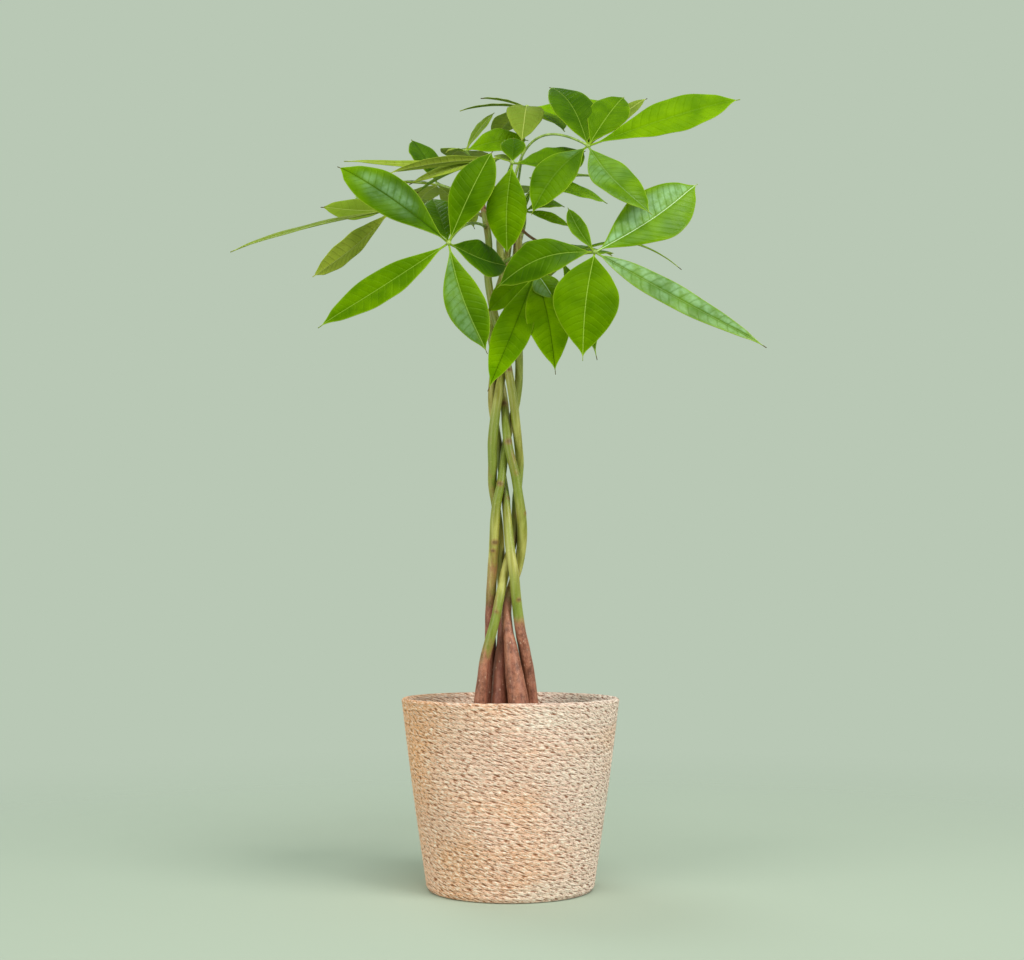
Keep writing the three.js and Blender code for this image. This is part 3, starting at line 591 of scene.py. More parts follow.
def blade_material():
    """A living leaflet: glossy quilted upper side, paler matt under side, veins, light through it,
    with painted sheen between the veins, painted shade in their furrows, a painted highlight on glossy
    midribs, and a tone that is partly painted light and shade.
    """
    look = material_look("leaf_blade")
    under, tone, gloss, rib, bloom, dry = look.attributes("under", "tone", "gloss", "rib", "bloom", "dry")
    to_margin, to_midrib, to_tip, vein_number = look.attributes("to_margin", "to_midrib", "to_tip", "vein")
    tone = look.calc("ADD", tone, to_margin.smooth(0, 5, 0.14, 0), clamp=True)
    bloom = bloom * look.noise(90, 4, 0.6).smooth(0.35, 0.65, 0.3, 1)

    share = look.calc("FRACT", vein_number)
    to_vein = look.calc("MINIMUM", share, 1 - share)
    inside = to_margin.smooth(0.4, 3) * to_tip.smooth(5, 20)
    vein = to_vein.smooth(0, 0.09, 1, 0) * inside
    midrib = to_midrib.smooth(0.15, 0.55, 1, 0)
    mottle = look.noise(40, 4)
    cells = look.add("TexVoronoi", "Distance", {"Vector": look.place(), "Scale": 620},
                     feature="DISTANCE_TO_EDGE")
    net = cells.smooth(0, 0.12, 1, 0)

    # The leaflet's lightness: partly its own colour, partly painted light and shade.
    deep = look.mixed(tone, LEAF_DARK, LEAF_BRIGHT)
    fresh = look.mixed(tone, LEAF_MIDDLE, LEAF_LIGHT)
    # Glossy leaflets get a whiter midrib: a painted highlight.
    rib_colour = look.mixed(gloss.smooth(0, 0.5), LEAF_MIDRIB, LEAF_RIB_HIGHLIGHT)
    top = look.layers(
        look.mixed(mottle.smooth(0.3, 0.72), deep, fresh),
        (vein * 0.16, LEAF_VEIN),
        # Painted sheen: pale teal on the pillows between the veins.
        (bloom * to_vein.smooth(0, 0.26, 0.66, 1), LEAF_PAINTED_SHEEN_COLOUR),
        # Painted shade in the vein furrows within the painted sheen.
        (vein * bloom.smooth(0, 0.1, 0, 0.3), LEAF_FURROW_SHADE),
        (to_midrib.smooth(0.5, 2.4, 1, 0) * 0.3, deep),
        (midrib * look.calc("MAXIMUM", rib, 0), rib_colour),
        (midrib * look.calc("MAXIMUM", rib * -1, 0), LEAF_RIB_SHADE),
        (to_margin.smooth(0.2, 1, 1, 0) * 0.5, LEAF_MARGIN))
    pale = look.layers(
        look.mixed(tone, UNDER_DARK, UNDER_LIGHT),
        (mottle.smooth(0.35, 0.68, 0, 0.6) * tone, UNDER_LIT),
        (vein * 0.7, UNDER_VEIN),
        (net * 0.2, UNDER_NET),
        (midrib * 0.8, UNDER_MIDRIB))
    colour = look.layers(top, (under, pale), (to_tip.smooth(2, 6, 1, 0) * dry, LEAF_DRY_TIP))

    height = to_vein.smooth(0, 0.2) * inside - net * 0.05
    normal = look.bump(height * under.smooth(0.4, 0.6, 1, -0.8), 0.0003, 0.8)
    roughness = look.noise(90, 2).smooth(0.3, 0.7, 0, 0.1) + 0.42 + under * 0.2
    coat = gloss * (1 - under) * look.noise(26, 2).smooth(0.4, 0.6, 0.35, 1)
    sheen = {"Specular Tint": LEAF_SHEEN, "Coat Weight": coat, "Coat Roughness": 0.34,
             "Coat Normal": normal}
    surface = look.principled(colour, roughness, normal, 0.16, **sheen)
    through_colour = look.mixed(0.5, colour, LEAF_THROUGH)
    through = look.add("BsdfTranslucent", 0, {"Color": through_colour, "Normal": normal})
    return look.finish(look.add("MixShader", 0, {0: 0.24, 1: surface, 2: through}))


def stalk_material():
    """Leaf stalks and hubs: smooth mottled green, brown where the point values say so."""
    look = material_look("leaf_stalk")
    mottle = look.noise((260, 260, 90))
    brown = look.attributes("brown")[0] + mottle * 0.3
    green = look.mixed(mottle.smooth(0.3, 0.7), STALK_DARK, STALK_LIGHT)
    colour = look.mixed(brown.smooth(0.45, 0.9), green, STALK_BROWN)
    return look.finish(look.principled(colour, 0.42, look.bump(mottle, 0.0003, 0.5)))


def stem_material():
    """Stems: brown bark with pale pores and dark flecks at the foot, smooth olive green above, with
    painted shade where stems lie close together and on the bark of the inner stems.
    """
    look = material_look("stem_bark")
    bark, scar, deep, apart = look.attributes("bark", "scar", "deep", "apart")
    patchy = look.noise((60, 60, 30), 4, 0.6)
    bark = (bark + (patchy - 0.5)).smooth(0.25, 0.75)
    streak = look.noise((200, 200, 12))
    soft = look.noise((110, 110, 60), 4, 0.6)
    grain = look.noise((300, 300, 170), 4, 0.65)
    fine = look.noise(500, 3, 0.6)
    cloudy = (soft + grain) * 0.5
    pores = look.add("TexVoronoi", "Distance", {"Vector": look.place(1, 1, 0.7), "Scale": 300})
    pore = pores.smooth(0.1, 0.3, 1, 0)
    is_pale, is_dark, _ = Value(look, pores.node, "Color").parts("Color")

    green = look.layers(
        look.mixed(streak.smooth(0.3, 0.7), STEM_OLIVE, STEM_PALE),
        (look.noise((14, 14, 9), 2).smooth(0.42, 0.6, 0, 0.75), STEM_GREEN),
        (patchy.smooth(0.52, 0.7, 0, 0.6), STEM_BLUSH),
        (fine.smooth(0.55, 0.75, 0, 0.2), STEM_FLECK))
    brown = look.layers(
        look.mixed(cloudy.smooth(0.36, 0.6), BARK_DARK, BARK_LIGHT),
        (streak.smooth(0.45, 0.7, 0, 0.45), BARK_RED),
        (fine.smooth(0.5, 0.72, 0, 0.25), BARK_FLECK),
        # Painted shade: the bark of the inner stems darkened towards red-brown.
        (deep * 0.6, BARK_RED),
        (pore * is_pale.smooth(0.55, 0.75) * 0.5, PORE_PALE),
        (pore * is_dark.smooth(0.66, 0.72) * 0.5, PORE_DARK))
    worn = scar * soft.smooth(0.3, 0.6, 0.5, 1.2)
    colour = look.layers(
        green, (bark, brown),
        (worn.smooth(0.1, 0.8, 0, 0.6), SCAR_EDGE),
        (worn.smooth(0.75, 1, 0, 0.6), SCAR_MIDDLE),
        # Painted shade where the stems lie close to each other.
        (apart.smooth(0.2, 4.2, 0.92, 0), STEM_CONTACT_SHADE))

    height = (fine * 0.5 + grain * 0.9 + pore * 0.4) * bark + streak * 0.2
    normal = look.bump(height, 0.0008, 0.7)
    return look.finish(look.principled(colour, bark * 0.06 + 0.44, normal))


def plastic_material():
    """Dark recycled plastic with a fine moulded grain."""
    look = material_look("pot_plastic")
    cloud = look.noise(24)
    colour = look.mixed(cloud, PLASTIC_DARK, PLASTIC_LIGHT)
    normal = look.bump(look.noise(900, 2), 0.0002, 0.4)
    return look.finish(look.principled(colour, cloud.smooth(0.3, 0.7, 0.42, 0.58), normal))


def soil_material():
    """Damp potting soil: dark crumbs, brown fibres and a few pale grains."""
    look = material_look("potting_soil")
    fine = look.noise(380, 5, 0.65)
    colour = look.layers(
        look.mixed(fine.smooth(0.3, 0.7), SOIL_DARK, SOIL_LIGHT),
        (look.noise(45).smooth(0.4, 0.65, 0, 0.5), SOIL_DAMP),
        (look.attributes("pale")[0], SOIL_GRAIN))
    return look.finish(look.principled(colour, 0.92, look.bump(fine, 0.0012, 0.9), 0.2))


def floor_material():
    """A plain pale matt floor that runs out into the backdrop."""
    look = material_look("plain_floor")
    away = look.add("VectorMath", "Value", {0: look.place()}, operation="LENGTH")
    matt = look.principled(FLOOR_COLOUR, 0.9, specular=0.1)
    clear = look.add("BsdfTransparent")
    return look.finish(look.add("MixShader", 0, {0: away.smooth(0.2, 1.5), 1: matt, 2: clear}))


# ------------------------ mesh helpers
def once_round(count):
    """Even angles once round."""
    return np.linspace(0, TURN, count, endpoint=False)


def polar(r, angle, z):
    """Points at a radius, an angle and a height."""
    return np.stack(np.broadcast_arrays(r * np.cos(angle), r * np.sin(angle), z), -1)


def unit(vectors):
    return vectors / np.linalg.norm(vectors, axis=-1, keepdims=True)


def lengths_along(line):
    """How far along a line each of its points is."""
    return np.concatenate([[0], np.cumsum(np.linalg.norm(np.diff(line, axis=0), axis=1))])


def smooth_step(value, low, high):
    share = np.clip((value - low) / (high - low), 0, 1)
    return share * share * (3 - 2 * share)


def ring_faces(rows, columns):
    """Quads between the neighbouring points of closed rings."""
    i, j = np.arange(rows - 1)[:, None], np.arange(columns)[None]
    k = (j + 1) % columns
    corners = [i * columns + j, i * columns + k, (i + 1) * columns + k, (i + 1) * columns + j]
    return np.stack(corners, -1).reshape(-1, 4).tolist()


def ring_tube(rings):
    """Points and faces of a closed tube through rings of shape (rings, points, 3)."""
    rows, columns = rings.shape[:2]
    faces = ring_faces(rows, columns)
    faces.append(list(range(columns))[::-1])
    faces.append(list(range((rows - 1) * columns, rows * columns)))
    return rings.reshape(-1, 3), faces


def round_rings(centres, radii, sides, side=(1.0, 0.0, 0.0)):
    """Rings square to a line of centres. radii holds one radius a ring, or one a point."""
    along = unit(np.gradient(centres, axis=0))
    across = unit(np.array(side) - (along @ np.array(side))[:, None] * along)[:, None]
    angle = once_round(sides)[None, :, None]
    flat = across * np.cos(angle) + np.cross(along[:, None], across) * np.sin(angle)
    radii = np.asarray(radii, float)
    radii = radii[:, None] if radii.ndim == 1 else radii
    return centres[:, None] + radii[..., None] * flat


def signed_volume(points, faces):
    """Six times the volume inside the faces, negative if they look inward."""
    fans = [[face[0], *pair] for face in faces for pair in zip(face[1:], face[2:])]
    first, second, third = points[np.array(fans)].transpose(1, 0, 2)
    return np.einsum("ij,ij->", first, np.cross(second, third))


class Body:
    """Points, faces and values per point of one piece, gathered from its closed parts."""

    def __init__(self):
        self.points, self.faces, self.slots, self.values = [], [], [], {}
        self.count = 0

    def add(self, points, faces, slot=0, **values):
        """Adds a closed part with its faces turned outward, its material slot and point values."""
        if signed_volume(points, faces) < 0:
            faces = [face[::-1] for face in faces]
        self.faces += [[self.count + i for i in face] for face in faces]
        self.slots += [slot] * len(faces)
        self.points.append(points)
        for key in {**self.values, **values}:
            known = self.values.setdefault(key, [np.zeros(self.count)] if self.count else [])
            known.append(np.broadcast_to(values.get(key, 0), len(points)).astype(float))
        self.count += len(points)

    def build(self, name, *materials):
        """The Blender object, smooth shaded."""
        mesh = bpy.data.meshes.new(name)
        mesh.from_pydata((np.concatenate(self.points) * MM).tolist(), [], self.faces)
        mesh.polygons.foreach_set("material_index", self.slots)
        mesh.polygons.foreach_set("use_smooth", [True] * len(self.faces))
        for key, value in self.values.items():
            layer = mesh.attributes.new(key, "FLOAT", "POINT")
            layer.data.foreach_set("value", np.concatenate(value))
        for material in materials:
            mesh.materials.append(material)
        mesh.update()
        return in_scene(name, mesh)


def in_scene(name, data):
    """An object with that data, in the scene."""
    thing = bpy.data.objects.new(name, data)
    bpy.context.scene.collection.objects.link(thing)
    return thing


def finish_piece(piece, slot, *nodes):
    """Puts a piece on the one body, in place of its nodes."""
    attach(piece, "root")
    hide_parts(*nodes)


# ------------------------ basket
def basket_radius(z):
    share = z / BASKET_HEIGHT
    return (BASKET_FOOT_R + (BASKET_TOP_R - BASKET_FOOT_R) * share
            + BASKET_BULGE * np.sin(np.pi * share))


def arc(centre_r, centre_z, radius, start, end, count):
    """Points [r, z] on an arc, from one angle to another in degrees."""
    angles = np.radians(np.linspace(start, end, count))
    return [[centre_r + radius * math.cos(a), centre_z + radius * math.sin(a)] for a in angles]


def resampled(line, spacing):
    """Points of a line of [r, z] corners at about even spacing, and how far along each is."""
    line = np.array(line, float)
    ends = lengths_along(line)
    far = np.linspace(0, ends[-1], round(ends[-1] / spacing) + 1)
    return np.stack([np.interp(far, ends, line[:, k]) for k in (0, 1)], 1), far


def wander(turn, z, size, waves, low, high, count=6):
    """A smooth random field over the basket's surface, round it without a seam."""
    total = 0
    for _ in range(count):
        pitch = random.uniform(low, high)
        total = total + np.sin(random.integers(1, waves) * turn + TURN * z / pitch
                               + random.uniform(0, 6.3))
    return size * total * (2 / count) ** 0.5


def basket():
    """Rows of twisted rope coiled from the middle of the base up to the rim and round it."""
    rim_r = BASKET_WALL / 2
    rim = (BASKET_TOP_R - rim_r, BASKET_HEIGHT - rim_r, rim_r)
    edge_r = basket_radius(BASKET_EDGE_R) - BASKET_EDGE_R
    heights = np.linspace(BASKET_EDGE_R, rim[1], 60)
    outside = [[0.5, 0]] + arc(edge_r, BASKET_EDGE_R, BASKET_EDGE_R, -90, 0, 10)
    outside += [[basket_radius(z), z] for z in heights[1:]] + arc(*rim, 0, 90, 8)[1:]
    inside = arc(*rim, 90, 180, 8)
    inside += [[basket_radius(z) - BASKET_WALL, z] for z in heights[::-1][1:]] + [[0.5, BASKET_FLOOR]]
    out_line, out_far = resampled(outside, ROPE_PITCH / 5)
    in_line, in_far = resampled(inside, ROPE_PITCH / 3)
    line = np.vstack([out_line, in_line[1:]])
    level = np.concatenate([out_far[-1] - out_far, -in_far[1:]]) / ROPE_PITCH + RIM_LEVEL

    tangent = unit(np.gradient(line, axis=0))
    turn = np.linspace(-np.pi, np.pi, BASKET_COLUMNS, endpoint=False)
    line_r, line_z = line[:, :1], line[:, 1:]
    level = level[:, None] + wander(turn, line_z, 0.12, 7, 90, 160) * (line_z > 1)
    seam = np.round(level)
    seam_r = np.interp(seam, level[::-1, 0], line[::-1, 0])
    plies = np.maximum(np.round(TURN * seam_r / PLY_LENGTH), 3)
    twist = plies * turn / TURN + wander(turn, line_z, 0.2, 4, 80, 140)
    gap_turn = twist + seam * GAP_SHIFT
    beside = (gap_turn - np.round(gap_turn)) * PLY_LENGTH
    off_line = (level - seam) * ROPE_PITCH - beside * GAP_LEAN
    hollow = np.exp(-((beside / GAP_HALF_LENGTH) ** 4) - (off_line / GAP_HALF_WIDTH) ** 2)
    across = (level % 1) * 2 - 1
    lift = ROPE_RELIEF * (0.2 - np.abs(across) ** 2.4) + GAP_DEPTH * (0.3 - hollow)
    flat_base = (line_z < 0.5) * (line_r < edge_r + 3)
    lift = np.where(flat_base, np.minimum(lift, 0), lift)
    points = polar(line_r + tangent[:, 1:] * lift, turn - np.pi / 2, line_z - tangent[:, :1] * lift)
    body = Body()
    body.add(*ring_tube(points))
    piece = body.build("basket_rope", rope_material())
    rope_uv(piece.data, twist / UV_TWIST, level / UV_LEVEL, plies / UV_TWIST)
    finish_piece(piece, "basket", "basket")


def rope_uv(mesh, across, up, once):
    """A UV map from values per point. A face that spans the seam takes once round off its far side."""
    layer = mesh.uv_layers.new(name="rope")
    corner = np.zeros(len(mesh.loops), int)
    mesh.loops.foreach_get("vertex_index", corner)
    uv = np.stack([across.ravel()[corner], up.ravel()[corner]], 1)
    face = np.repeat(np.arange(len(mesh.polygons)), [len(p.vertices) for p in mesh.polygons])
    lowest = np.full(len(mesh.polygons), np.inf)
    np.minimum.at(lowest, face, uv[:, 0])
    once = once.ravel()[corner]
    wraps = uv[:, 0] - lowest[face] > once / 2
    uv[wraps, 0] -= once[wraps]
    layer.data.foreach_set("uv", uv.ravel())


# ------------------------ nursery pot and soil
def pot_radius(z):
    return np.interp(z, [POT_FOOT_Z, POT_TOP_Z], [POT_FOOT_R, POT_TOP_R])


def nursery_pot():
    """A thin plastic pot with a rolled lip and drain holes."""
    foot_z, top_z, inner_r = POT_FOOT_Z, POT_TOP_Z, POT_TOP_R - POT_WALL
    lip_r, lip_z = POT_TOP_R + POT_LIP, top_z - POT_LIP_DEPTH
    floor_z = foot_z + POT_FLOOR
    profile = [[0, foot_z], [POT_FOOT_R - 1.5, foot_z], [POT_FOOT_R - 0.4, foot_z + 0.4],
               [POT_FOOT_R, foot_z + 1.5]]
    profile += [[pot_radius(z), z] for z in np.linspace(foot_z + 8, lip_z, 12)]
    profile += [[lip_r - 0.5, lip_z], [lip_r - 0.1, lip_z + 0.5], [lip_r, lip_z + 2],
                [lip_r, top_z - 1.2], [lip_r - 0.35, top_z - 0.35], [lip_r - 1.2, top_z],
                [inner_r + 0.8, top_z], [inner_r, top_z - 0.8]]
    profile += [[pot_radius(z) - POT_WALL, z] for z in np.linspace(lip_z, floor_z + 2, 12)]
    profile += [[pot_radius(floor_z) - POT_WALL - 1.5, floor_z], [0, floor_z]]
    profile = np.array(profile)
    body = Body()
    body.add(*ring_tube(polar(np.maximum(profile[:, :1], 0.3), once_round(POT_SIDES), profile[:, 1:])))
    piece = body.build("pot_shell", plastic_material())
    drills = Body()
    for angle in once_round(DRAIN_HOLES):
        line = polar(DRAIN_RING_R, angle, np.array([foot_z - 3, floor_z + 3]))
        drills.add(*ring_tube(round_rings(line, [DRAIN_HOLE_R, DRAIN_HOLE_R], 24)))
    drill = drills.build("drill")
    cut = piece.modifiers.new("drain_holes", "BOOLEAN")
    cut.operation = "DIFFERENCE"
    cut.object = drill
    cut.solver = "EXACT"
    apply_modifiers(piece)
    bpy.data.objects.remove(drill)
    finish_piece(piece, "nursery_pot", "nursery_pot")


def apply_modifiers(piece):
    """Leaves the piece with the mesh that its modifiers give."""
    bpy.context.view_layer.update()
    graph = bpy.context.evaluated_depsgraph_get()
    mesh = bpy.data.meshes.new_from_object(piece.evaluated_get(graph))
    piece.modifiers.clear()
    piece.data = mesh


def crumb(centre, size):
    """Points and faces of one angular crumb."""
    slope = np.linspace(0.35, np.pi - 0.35, 4)[:, None]
    shape = polar(np.sin(slope), once_round(6) + random.uniform(0, 1), np.cos(slope))
    shape *= size * random.uniform([1, 0.6, 0.45], [1.5, 1.1, 0.8])
    shape *= random.uniform(0.8, 1.2, shape.shape[:2])[..., None]
    turn = random.uniform(0, TURN)
    x = shape[..., 0] * np.cos(turn) - shape[..., 1] * np.sin(turn)
    y = shape[..., 0] * np.sin(turn) + shape[..., 1] * np.cos(turn)
    return ring_tube(np.stack([x, y, shape[..., 2]], -1) + centre)


def soil_top(x, y, edge):
    """The height of the soil: a low crown with soft dips, heaped a little round the stems."""
    z = SOIL_EDGE_Z + SOIL_CROWN * (1 - (np.hypot(x, y) / edge) ** 2)
    z = z + 1.1 * np.sin(x / 9 + 1) * np.sin(y / 11)
    z = z + 0.7 * np.sin(x / 4.1) * np.cos(y / 3.7 + x / 9)
    for points in STEMS.values():
        foot_x, foot_y = points[2][:2]
        z = z + SOIL_HEAP * np.exp(-((x - foot_x) ** 2 + (y - foot_y) ** 2) / 240)
    return z


def soil():
    """Soil with an uneven crumbly top."""
    inner_radius = lambda z: pot_radius(z) - POT_WALL - SOIL_PLAY
    edge = inner_radius(SOIL_EDGE_Z)
    angle = once_round(SOIL_SIDES)
    radii = np.linspace(edge, 0.4, 46)[:, None]
    x, y = radii * np.cos(angle), radii * np.sin(angle)
    rough = random.normal(0, SOIL_ROUGHNESS, x.shape) * (radii < edge - 2)
    surface = np.stack([x, y, soil_top(x, y, edge) + rough], -1)
    walls = [[0.4, SOIL_BOTTOM_Z], [inner_radius(SOIL_BOTTOM_Z), SOIL_BOTTOM_Z], [inner_radius(100), 100]]
    wall = np.stack([polar(r, angle, z) for r, z in walls])
    body = Body()
    body.add(*ring_tube(np.concatenate([wall, surface])), pale=0)
    for _ in range(SOIL_CRUMBS):
        turn, far = random.uniform(0, TURN), (edge - 3) * math.sqrt(random.uniform())
        x, y = far * math.cos(turn), far * math.sin(turn)
        size = random.uniform(0.5, 1.0) * random.choice([0.9, 1.4, 2.2], p=[0.6, 0.3, 0.1])
        points, faces = crumb([x, y, soil_top(x, y, edge) + size * 0.25], size)
        body.add(points, faces, pale=random.uniform() < 0.12)
    finish_piece(body.build("soil_crumbs", soil_material()), "soil", "soil")


# ------------------------ stems
def catmull_rom(points, places):
    """Points on the smooth line through points, at places counted in points from the first."""
    first, last = 2 * points[0] - points[1], 2 * points[-1] - points[-2]
    padded = np.vstack([first, points, last])
    i = np.clip(np.floor(places).astype(int), 0, len(points) - 2)
    t = (places - i)[:, None]
    a, b, c, d = (padded[i + k] for k in range(4))
    return 0.5 * (2 * b + (c - a) * t + (2 * a - 5 * b + 4 * c - d) * t**2
                  + (3 * b - a - 3 * c + d) * t**3)


def stem_line(name, count):
    """Points on a stem's middle line and the radius at each, from the root upwards."""
    points = np.array(STEMS[name], float)
    places = np.linspace(0, len(points) - 1, count)
    radii = np.interp(places, np.arange(len(points)), points[:, 3])
    return catmull_rom(points[:, :3], places), radii


def to_other_stems(name, points):
    """How far each point lies from the surface of the nearest other stem."""
    least = np.full(len(points), 99.0)
    for other in STEMS:
        if other != name:
            centres, radii = stem_line(other, 150)
            far = np.linalg.norm(points[:, None] - centres[None], axis=2) - radii
            least = np.minimum(least, far.min(axis=1))
    return least


def stem(name, material):
    """One stem: bark at its foot, ring scars, and a small bud at its top."""
    bark_top, softness, rings, scars = BARK[name]
    centres, radii = stem_line(name, STEM_RINGS)
    radii, height, top = radii[:, None], centres[:, 2:], STEMS[name][-1][2]
    bark = 1 / (1 + np.exp(np.clip((height - bark_top) / softness, -30, 30)))
    bark = np.maximum(bark, 0.75 * smooth_step(height, top - 24, top - 4))
    angle = once_round(STEM_SIDES)
    lumps = np.zeros((STEM_RINGS, STEM_SIDES))
    for _ in range(LUMP_WAVES):
        wide, pitch = random.integers(1, 4), random.uniform(14, 60)
        lumps += np.sin(wide * angle + TURN * height / pitch + random.uniform(0, 6.3))
    lumps = lumps / LUMP_WAVES * (0.016 + 0.05 * bark)
    ringed = 0.4 * sum(np.exp(-(((height - z) / 1.2) ** 2)) for z in rings)
    scar = 0.5 * ringed + 0 * lumps
    for z, turn, size in scars:
        round_way = np.angle(np.exp(1j * (angle - math.radians(turn)))) * radii
        dent = ((height - z) / size) ** 2 + (round_way / size / 1.7) ** 2
        scar = np.maximum(scar, np.exp(-dent))
    thick = radii * (0.985 + lumps) + 0.2 * ringed + 0.35 * scar
    lift, slim = np.array(BUD).T[:, :, None]
    thick = np.vstack([thick, slim * thick[-1]])
    centres = np.vstack([centres, centres[-1] + lift * unit(centres[-1] - centres[-2])])
    row = np.minimum(np.arange(len(centres)), STEM_RINGS - 1)
    body = Body()
    points, faces = ring_tube(round_rings(centres, thick, STEM_SIDES))
    # deep: painted shade on the inner stems' bark. apart: distance to the other stems, for painted shade
    # between them.
    body.add(points, faces, bark=(bark + 0 * scar)[row].ravel(), scar=scar[row].ravel(),
             deep=STEM_INNER_SHADE.get(name, 0), apart=to_other_stems(name, points))
    finish_piece(body.build(f"{name}_bark", material), "stem", name)


# ------------------------ leaves
def half_width(share, width, power_at_tip=OUTLINE_POWER_AT_TIP, shift=OUTLINE_SHIFT):
    """Half the width of a leaflet at shares of its length, with a stalk and a drip tip."""
    t = np.clip((share - OUTLINE_START) / OUTLINE_LENGTH, 0, 1)
    power = OUTLINE_POWER_AT_HUB + (power_at_tip - OUTLINE_POWER_AT_HUB) * t
    full = width / 2 * np.maximum(np.sin(np.pi * t**shift), 0) ** power
    full = full * (1 - 0.4 * smooth_step(share, 0.86, 0.965))
    slim = STALK_HALF_WIDTH + (TIP_HALF_WIDTH - STALK_HALF_WIDTH) * smooth_step(share, 0.88, 0.97)
    return np.maximum(full, slim)


def leaflet(body, hub, face, spec, tone, gloss, pale, rib, bloom, tip_tone):
    """One leaflet as a thin closed blade with a quilted surface, a wavy margin and a drip tip."""
    x, y, z, width, arch, sweep, roll = spec[:7]
    chord = np.array([x, y, z], float) - hub
    length = np.linalg.norm(chord)
    along = chord / length
    up = unit(face - face @ along * along)
    up = up * math.cos(math.radians(roll)) + np.cross(along, up) * math.sin(math.radians(roll))
    across = np.cross(along, up)

    # s: the share of the length, a row each. u: the place across, a column each, 0 on the midrib.
    s = np.concatenate([np.linspace(0, 0.88, 76), np.linspace(0.89, 1, 17)])[:, None]
    to_side = np.array([[0.07, 0.19, 0.34, 0.5, 0.66, 0.82, 0.94, 1]])
    u = np.concatenate([-to_side[:, ::-1], [[0]], to_side], 1)
    out = np.abs(u)
    half = half_width(s, width, *spec[7:])
    to_midrib, to_margin = half * out, half * (1 - out)
    wave = np.sin(np.pi * s) * length
    middle = hub + s * chord + arch * wave * up + sweep * wave * across
    middle[:, 2:] -= length * TIP_DROOP * smooth_step(s, 0.85, 1.15)

    aside = to_midrib / length
    veins = np.clip(round(length / VEIN_SPACING), 7, 18)
    vein = veins * (s - VEIN_SLANT * aside - VEIN_BEND * aside**2) + 3
    inner = smooth_step(to_margin, 0.3, 3) * smooth_step(to_midrib, 0.2, 2.5)
    plump = QUILT_HEIGHT * min(1, width / 34) ** 2 * (1 + gloss)
    quilt = plump * (np.abs(np.sin(np.pi * vein)) - 0.55) * inner * (1 - smooth_step(s, 0.8, 0.95))
    side = np.where(u < 0, 0, 1)
    phase, pitch = random.uniform(0, 6.3, 2), random.uniform(0.2, 0.34, 2)
    ruffle = np.sin(TURN * s / pitch[side] + phase[side]) * out**2.2 * half * RUFFLE
    sway = random.uniform(-SWAY, SWAY) * np.sin(TURN * s + random.uniform(0, 6.3)) * u * half
    lift = (BLADE_FOLD * out - BLADE_CURL * out**2) * half + quilt + ruffle + sway
    lift = lift - MIDRIB_GROOVE * np.exp(-((to_midrib / 0.8) ** 2))
    upper = middle[:, None] + (u * half)[..., None] * across + lift[..., None] * up
    thick = BLADE_MARGIN + (BLADE_MIDDLE - BLADE_MARGIN) * (1 - out)
    thick = thick + np.interp(s, [0, 0.3, 1], [0.9, 0.55, 0.1]) * np.exp(-((to_midrib / 1.1) ** 2))
    under = upper - thick[..., None] * up

    # Where the painted sheen lies on the blade: on each half, over a stretch of the length, and how far
    # across.
    first, second, start, end, reach = bloom
    sheen_share = np.where(u < 0, first, second) * smooth_step(to_midrib, 0.4, 2)
    sheen_share = sheen_share * smooth_step(s, start - 0.05, start + 0.1) * (1 - smooth_step(s, end - 0.12, end + 0.04))
    sheen_share = sheen_share * (1 - smooth_step(out, reach - 0.3, reach + 0.2))
    tones_and_shade = np.clip(tone + tip_tone * smooth_step(s, 0.55, 0.85), 0, 1)
    both = lambda top, below: np.concatenate([top + 0 * half * u, (below + 0 * half * u)[:, ::-1]], 1).ravel()
    looks = {"tone": tones_and_shade, "vein": vein, "to_midrib": to_midrib, "to_margin": to_margin,
             "to_tip": (1 - s) * length, "bloom": sheen_share}
    points, faces = ring_tube(np.concatenate([upper, under[:, ::-1]], 1))
    body.add(points, faces, under=both(max(pale, 0), 1 + min(pale, 0)), dry=random.choice([0.4, 1.0]),
             gloss=gloss, rib=rib, **{key: both(value, value) for key, value in looks.items()})


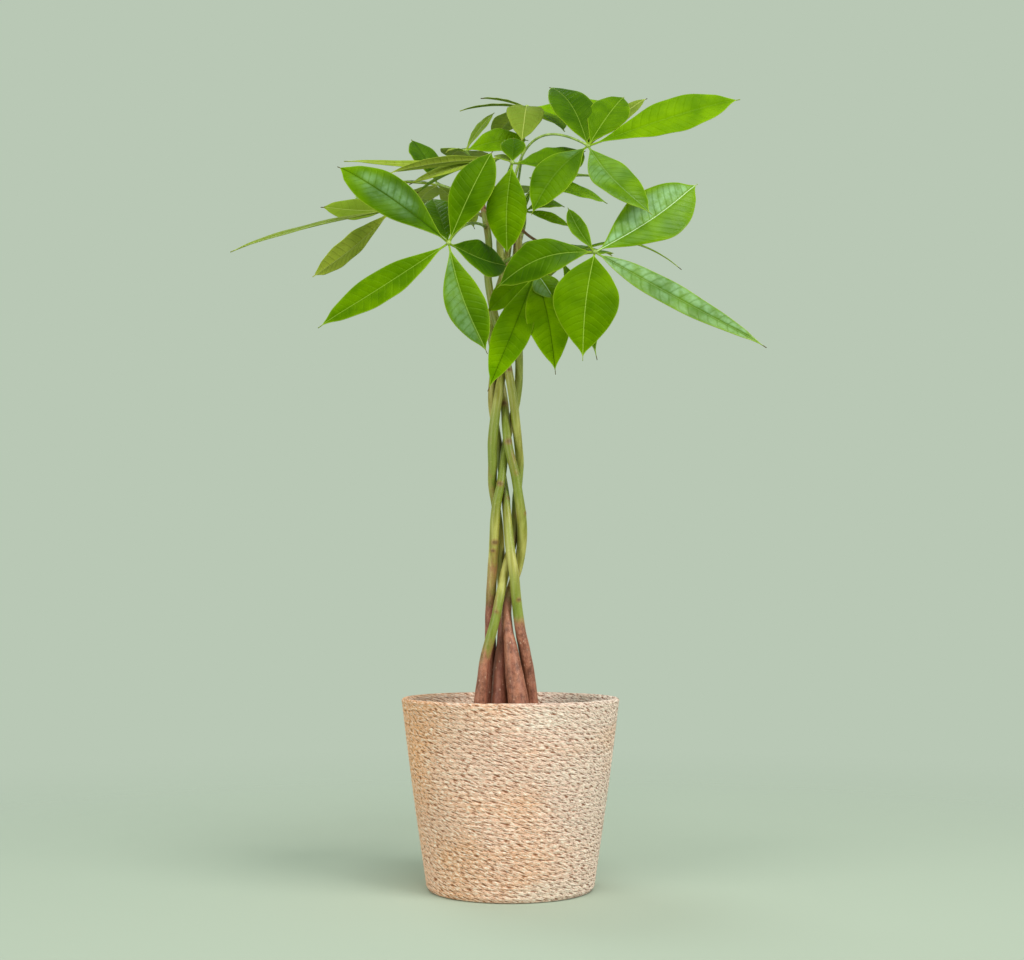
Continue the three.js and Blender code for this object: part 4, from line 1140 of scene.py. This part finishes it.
def leaf(name, blade, stalk):
    """A whole leaf: a stalk with swollen ends, a knobbly hub and its leaflets."""
    shape = LEAVES[name]
    stem_points = np.array(STEMS[shape["stem"]], float)
    start = np.array([np.interp(shape["root"], stem_points[:, 2], stem_points[:, k]) for k in range(3)])
    hub, via, face = (np.array(shape[key], float) for key in ("hub", "via", "face"))
    bend = 2 * via - 0.5 * start - 0.5 * hub
    t = np.linspace(0, 1, PETIOLE_RINGS)[:, None]
    centres = (1 - t) ** 2 * start + 2 * t * (1 - t) * bend + t**2 * hub
    far = lengths_along(centres)
    radii = PETIOLE_ROOT_R + (PETIOLE_END_R - PETIOLE_ROOT_R) * t[:, 0]
    radii = radii + 0.8 * np.exp(-(((far - 4) / 4) ** 2)) + 0.5 * np.exp(-(((far - far[-1]) / 4) ** 2))
    side = np.cross([0, 0, 1], unit(hub - start))
    side = unit(side) if np.linalg.norm(side) > 0.3 else np.array([1.0, 0, 0])
    brown = np.exp(-far / 14) * 0.8 + (0.9 if name in BROWN_STALKS else 0)
    body = Body()
    points, faces = ring_tube(round_rings(centres, radii, PETIOLE_SIDES, side))
    body.add(points, faces, slot=1, brown=np.repeat(brown, PETIOLE_SIDES))

    face = unit(face)
    slope = np.linspace(0.12, np.pi - 0.12, 11)[:, None]
    knobs = np.sin(5 * np.linspace(0, TURN, HUB_SIDES))
    line = hub + np.cos(slope) * face * HUB_R * 0.8
    rings = round_rings(line, HUB_R * np.sin(slope) * (1 + 0.1 * knobs), HUB_SIDES)
    body.add(*ring_tube(rings), slot=1, brown=0.35)

    count = len(shape["leaflets"])
    gloss = LEAF_GLOSS.get(name, (PLAIN_GLOSS,) * count)
    pale = LEAF_PALE.get(name, (0,) * count)
    rib = LEAF_RIB.get(name, (PLAIN_RIB,) * count)
    bloom = [LEAF_PAINTED_SHEEN.get(name, {}).get(k, NO_PAINTED_SHEEN) for k in range(count)]
    tip_tone = [LEAF_TIP_TONE.get(name, {}).get(k, 0) for k in range(count)]
    for spec, *look in zip(shape["leaflets"], LEAF_TONE_AND_SHADE[name], gloss, pale, rib, bloom, tip_tone):
        leaflet(body, hub, face, spec, *look)
    finish_piece(body.build(f"{name}_leaflets", blade, stalk), "leaf", name)


# ------------------------ stage, lights and camera
def floor():
    sides = 96
    points = polar(np.array(FLOOR_RINGS_M)[:, None], once_round(sides), 0).reshape(-1, 3)
    mesh = bpy.data.meshes.new("floor")
    mesh.from_pydata(points.tolist(), [], ring_faces(len(FLOOR_RINGS_M), sides) + [list(range(sides))])
    mesh.materials.append(floor_material())
    in_scene("floor", mesh)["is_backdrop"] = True


def studio_world():
    """Backdrop colour all round at eye height, and a dimmer, cooler ceiling."""
    look = Look(bpy.data.worlds.new("studio"))
    height = look.add("TexCoord", "Generated").parts()[2]
    colour = look.mixed(height.smooth(0.4, 0.85), BACKDROP, CEILING)
    light = look.add("Background", 0, {"Color": colour, "Strength": 1})
    bpy.context.scene.world = look.finish(light, "OutputWorld")


def lights():
    """Soft square lights that look at the middle of the plant, and the world."""
    for name, (place_m, size, energy, colour) in LIGHTS.items():
        lamp = bpy.data.lights.new(name, "AREA")
        lamp.shape = "SQUARE"
        lamp.size = size
        lamp.energy = energy
        lamp.color = colour
        holder = in_scene(name, lamp)
        holder.location = place_m
        way = Vector(LIGHTS_LOOK_AT_M) - holder.location
        holder.rotation_euler = way.to_track_quat("-Z", "Y").to_euler()
    studio_world()
    bpy.context.scene.view_settings.view_transform = "Standard"


def camera():
    lens = bpy.data.cameras.new("camera")
    lens.sensor_width = 36.0
    lens.lens = CAMERA_LENS
    lens.clip_end = 60.0
    holder = in_scene("camera", lens)
    holder.location = CAMERA_PLACE_M
    holder.rotation_euler = (math.radians(CAMERA_TILT), 0, 0)
    bpy.context.scene.camera = holder


camera()
floor()
lights()
basket()
nursery_pot()
soil()
bark_look, blade_look, stalk_look = stem_material(), blade_material(), stalk_material()
for stem_name in STEMS:
    stem(stem_name, bark_look)
for leaf_name in LEAVES:
    leaf(leaf_name, blade_look, stalk_look)

boxes = {"cad": [list(corner) for corner in cad_box],
         "visual": [list(corner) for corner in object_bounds()]}
